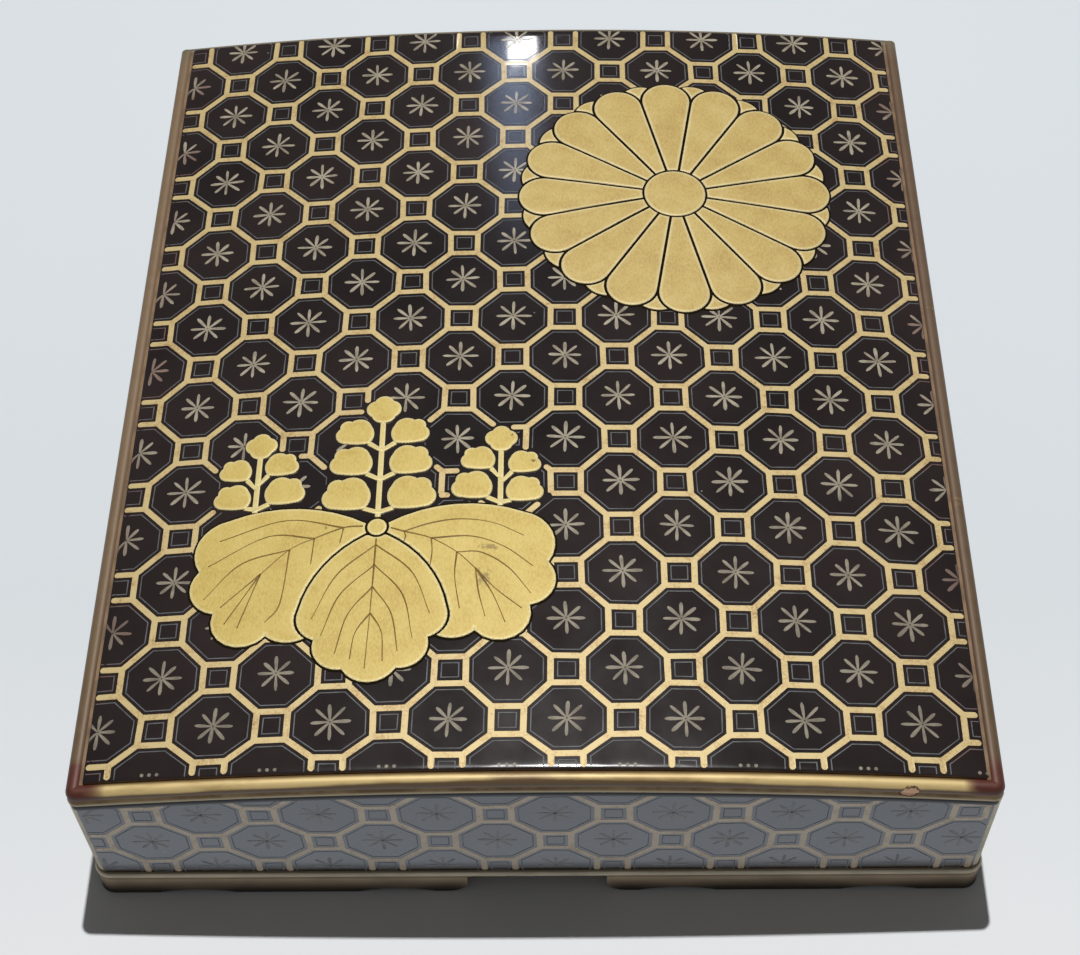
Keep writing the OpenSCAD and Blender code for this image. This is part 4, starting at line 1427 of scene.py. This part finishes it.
# What the lattice on the top keeps clear of: the crests and the panel's edge. The strokes run in under the
# leaves and the flower as far as underlap, and stop short of each blossom and of the room between them
crestClear = {
    "underlap": 3.0,
    "borderGap": 0.3,
    "flowerInset": 1.6,
    "knotRoom": [(-13, 2), (13, 2), (13, 12), (-13, 12)],
    "search": 6,  # zones further off than this don't count for a stroke
}
flowerZone = circlePoints(flowerShape["radius"] - crestClear["flowerInset"], 96)
clearZones = [(crestPlace["flower"], flowerZone, crestClear["underlap"])]
for outline, cutters in leaves.values():
    clearZones.append((crestPlace["leaves"], outline, crestClear["underlap"]))
for loops in sprays.values():
    clearZones += [(crestPlace["leaves"], loop, 0.0) for loop in loops]
between = [leftOfMiddle[::-1] + [sprayShape["middleTip"]] + sprayShape["middleBlossoms"][::-1]
           + [(0, knotRadius)]]
between.append(sprayShape["rightOuter"] + [sprayShape["rightTip"]] + sprayShape["rightInner"]
               + [(sprayShape["rightTip"][0], sprayShape["rightFoot"])])
between.append([(sprayShape["leftShift"] - p[0], p[1]) for p in between[1]])
between.append(crestClear["knotRoom"])
clearZones += [(crestPlace["leaves"], [p[:2] for p in loop], 0.0) for loop in between]
clearZones = [(np.array(loop) + centre, [(i, (i + 1) % len(loop)) for i in range(len(loop))], under)
              for centre, loop, under in clearZones]


def clearOfCrests(points):
    points = np.asarray(points, float).reshape(-1, 2)
    gap = np.minimum(panelHalfX - np.abs(points[:, 0]), panelHalfY - np.abs(points[:, 1]))
    gap += latticeShape["endGap"] - crestClear["borderGap"]
    around = crestClear["search"]
    for place, border, under in clearZones:
        near = ((points > place.min(0) - around) & (points < place.max(0) + around)).all(1)
        if near.any():
            gap[near] = np.minimum(gap[near], under - borderDistance(points[near], place, border))
    return gap


topLattice = {
    "pitch": (17.13, 16.873),
    "star": (9.798, -3.273),
    # the row cut by the front rim has three dots in place of a star
    "edgeRow": {"row": -9, "squaresUp": 1.5, "dotApart": 2.2, "dotRadius": 0.55, "dotY": 1.3 - panelHalfY},
    "finish": (lineGold, lineSilver, starSilver),
    "tipRoom": -3.0,
    "seed": 11,
}
drawLattice("top", topLattice["pitch"], topLattice["star"], (panelHalfX, panelHalfY), clearOfCrests,
            surfacePoint, topLattice["seed"], topLattice["finish"], topLattice["tipRoom"],
            topLattice["edgeRow"])

# Dark plates round the leaves and the flower, on which the strokes seem to stop
plateShape = {"grow": 0.7, "lift": 0.13, "depth": 0.2, "colour": "#1f180d"}
# Bare lacquer ground in the grooves: brown-black and without shine, so that the gaps stay dark
groundBrown = startMaterial("bare_lacquer_ground", {"Base Color": hexToLinear(plateShape["colour"]),
                                                    "Roughness": 0.6, "Specular IOR Level": 0.0})[0]


def grownLoop(loop, grow):
    points = np.array(loop, float)
    ahead = np.roll(points, -1, 0) - points
    ahead /= np.maximum(np.linalg.norm(ahead, axis=1), 1e-9)[:, None]
    mean = ahead + np.roll(ahead, 1, 0)
    mean /= np.maximum(np.linalg.norm(mean, axis=1), 1e-9)[:, None]
    return [tuple(p) for p in points + grow * np.stack([mean[:, 1], -mean[:, 0]], 1)]


def groundPlate(name, centre, outlines):
    spots, triangles = tessellated(outlines)
    faces = [face for face, source in triangles if source]
    points = [surfacePoint(x + centre[0], y + centre[1], plateShape["lift"]) for x, y in spots]
    plate = makePiece(name, points, faces, [groundBrown], "lid")
    thicken(plate, plateShape["depth"])


plateGrow = plateShape["grow"]
flowerLoops = [turned(petalOutline(plateGrow)[0], a) for a in angles]
flowerLoops += [turned(circlePoints(petalEndR + plateGrow, 64, (petalEndD - flowerShape["rearShort"], 0)),
                       a + step / 2) for a in angles]
groundPlate("flower_plate", crestPlace["flower"], flowerLoops + [circlePoints(petalEndD, 96)])
leafLoops = [grownLoop(outline, plateGrow) for outline, cutters in leaves.values()]
groundPlate("leaf_plate", crestPlace["leaves"], leafLoops + [circlePoints(knotRadius + crestGap, 40)])
print("plates made")

# The same lattice carried round the four walls, as the photograph shows it on the front
wallLattice = {
    "pitch": (17.18, 17.5),
    "row": 31.9,
    "frontStar": -11.18,
    "finish": (wallGold, wallLine, wallStar),
    "tipRoom": 0.6,
    "gap": 0.25,
    "relief": 0.45,  # the drawing on the walls lies this share as high as on the top
    "tallest": 70,
    "seeds": 20,
}


def wallClear(points, half, roof):
    points = np.asarray(points, float).reshape(-1, 2)
    sides = half - lidShape["cornerRebate"] - np.abs(points[:, 0])
    gap = np.minimum(sides, roof(points[:, 0]) - points[:, 1])
    return np.minimum(gap, points[:, 1] - lidShape["wallFoot"]) + latticeShape["endGap"] - wallLattice["gap"]


def endClear(points):
    inner = lidShape["archRadius"] - lidShape["rimFoot"]
    low = crown - lidShape["archRadius"]
    return wallClear(points, lidShape["halfWidth"], lambda x: low + np.sqrt(inner ** 2 - x ** 2))


def sideClear(points):
    return wallClear(points, lidShape["halfLength"], lambda x: rimLow)


# A wall's place for a point along it, up it and out of it, by the way outwards
def wallPlace(outX, outY):
    def place(u, v, h):
        out = h * wallLattice["relief"]
        x = outX * (lidShape["halfWidth"] + out) - outY * u
        return (x, outY * (lidShape["halfLength"] + out) + outX * u, v)
    return place


wallFaces = {"front": (0, -1), "rear": (0, 1), "right": (1, 0), "left": (-1, 0)}
for seed, (name, out) in enumerate(wallFaces.items(), wallLattice["seeds"]):
    half, clear = (lidShape["halfLength"], sideClear) if out[0] else (lidShape["halfWidth"], endClear)
    drawLattice(name, wallLattice["pitch"], (wallLattice["frontStar"], wallLattice["row"]),
                (half, wallLattice["tallest"]), clear, wallPlace(*out), seed, wallLattice["finish"],
                wallLattice["tipRoom"])

# Pale floor, soft lamps and the camera at the photograph's angle. Lengths in m
stageLook = {
    "floorHalf": 3,
    "floor": "#ffffff",
    "floorShade": "#e1e7eb",
    "floorFront": -0.3,  # painted light: the pale table is brightest here and evens out by floorBack
    "floorBack": -0.05,
    "mirrored": 0.76,  # strength and colour of the plain floor as polished surfaces show it
    "mirroredColour": "#e4ecf6",
    "darkNear": (0.0054, 0.0082),  # painted shadow: next to the feet the mirrored floor is dark, then clears
    "darkShare": 0.1,
    "worldColour": "#d8d6d6",
    "worldStrength": 0.14,
    "lamps": [
        # name, place, aim, size, watts, colour
        ("overhead_lamp", (0.03, 0.32, 1.9), (0, 0, 0), (0.03, 0.03), 31.0, "#ffffff"),
        ("rear_lamp", (-0.065, 1.64, 1.413), (0, 0.15, 0.07), (0.062, 0.03), 0.16, "#ffffff"),
        ("glow_lamp", (-0.085, 1.64, 1.62), (-0.085, 0.0, 1.62), (0.2, 0.44), 0.95, "#bdd5ff"),
    ],
    # the tall glow lamp fades upwards and to its sides
    "glow": {"lamp": "glow_lamp", "low": 1.42, "high": 1.84, "power": 1.2, "middle": -0.085, "half": 0.095},
}
floorMesh = bpy.data.meshes.new("floor")
floorCorners = [(x, y, 0) for x, y in ((-1, -1), (1, -1), (1, 1), (-1, 1))]
floorMesh.from_pydata([[c * stageLook["floorHalf"] for c in p] for p in floorCorners], [], [(0, 1, 2, 3)])
floor = bpy.data.objects.new("floor", floorMesh)
bpy.context.scene.collection.objects.link(floor)

# Matt pale table: plain paint, with painted shade a little darker towards the back
paper, add, shader, place = startMaterial("matt_pale_table", {"Roughness": 0.85})
axes = add("SeparateXYZ", {"Vector": place}).node.outputs
reach = (stageLook["floorBack"], stageLook["floorFront"])
nearness = add("MapRange", {"Value": axes["Y"], "span": reach})
shades = [(0.0, stageLook["floorShade"]), (1.0, stageLook["floor"])]
tint = add("ValToRGB", {"Fac": nearness, "stops": shades})
outside = []
for axis, half in (("X", lidShape["halfWidth"] * mm), ("Y", lidShape["halfLength"] * mm)):
    size = add("Math", {"operation": "ABSOLUTE", 0: axes[axis]})
    outside.append(add("Math", {"operation": "SUBTRACT", 0: size, 1: half}))
away = add("Math", {"operation": "MAXIMUM", 0: outside[0], 1: outside[1]})
# painted shadow in the mirrored floor next to the box
brightness = (stageLook["darkShare"] * stageLook["mirrored"], stageLook["mirrored"])
lit = add("MapRange", {"Value": away, "span": (*stageLook["darkNear"], *brightness)})
plain = add("Emission", {"Color": stageLook["mirroredColour"], "Strength": lit})
glossy = add("LightPath", {}).node.outputs["Is Glossy Ray"]
either = add("MixShader", {0: glossy, 1: shader.outputs["BSDF"], 2: plain})
feed(shader, {"Base Color": tint})
feed(paper.node_tree.nodes["Material Output"], {"Surface": either})
floorMesh.materials.append(paper)

scene = bpy.context.scene
world = bpy.data.worlds.new("studio")
scene.world = world
world.use_nodes = True
sky = world.node_tree.nodes["Background"]
sky.inputs["Color"].default_value = hexToLinear(stageLook["worldColour"])
sky.inputs["Strength"].default_value = stageLook["worldStrength"]
for name, at, aim, size, watts, colour in stageLook["lamps"]:
    data = bpy.data.lights.new(name, "AREA")
    data.shape = "RECTANGLE"
    data.size, data.size_y = size
    data.energy = watts
    data.color = hexToLinear(colour)[:3]
    lamp = bpy.data.objects.new(name, data)
    lamp.location = at
    lamp.rotation_euler = (Vector(aim) - Vector(at)).to_track_quat("-Z", "Y").to_euler()
    scene.collection.objects.link(lamp)
glow = stageLook["glow"]
glowData = bpy.data.lights[glow["lamp"]]
glowData.use_nodes = True
add = partial(addNode, glowData.node_tree)
axes = add("SeparateXYZ", {"Vector": add("NewGeometry", {})}).node.outputs
upward = add("MapRange", {"Value": axes["Z"], "span": (glow["high"], glow["low"])})
upward = add("Math", {"operation": "POWER", 0: upward, 1: glow["power"]})
aside = add("Math", {"operation": "SUBTRACT", 0: axes["X"], 1: glow["middle"]})
aside = add("Math", {"operation": "ABSOLUTE", 0: aside})
across = add("MapRange", {"interpolation_type": "SMOOTHSTEP", "Value": aside,
                          "span": (glow["half"], 0.0)})
strength = add("Math", {"operation": "MULTIPLY", 0: upward, 1: across})
feed(glowData.node_tree.nodes["Emission"], {"Strength": strength})

cameraView = {
    "place": (0.01251, -0.41539, 0.57355),
    "yaw": 1.69,
    "down": 54.2,
    "roll": -1.875,
    "lens": 66.105,
}
cameraData = bpy.data.cameras.new("photo_view")
cameraData.lens = cameraView["lens"]
cameraData.sensor_width = 36.0
cameraData.sensor_fit = "HORIZONTAL"
camera = bpy.data.objects.new("photo_view", cameraData)
camera.matrix_world = (
    Matrix.Translation(cameraView["place"])
    @ Matrix.Rotation(math.radians(cameraView["yaw"]), 4, "Z")
    @ Matrix.Rotation(math.radians(90 - cameraView["down"]), 4, "X")
    @ Matrix.Rotation(math.radians(cameraView["roll"]), 4, "Z")
)
scene.collection.objects.link(camera)
scene.camera = camera
scene.view_settings.view_transform = "Standard"
print("stage, lamps and camera set")
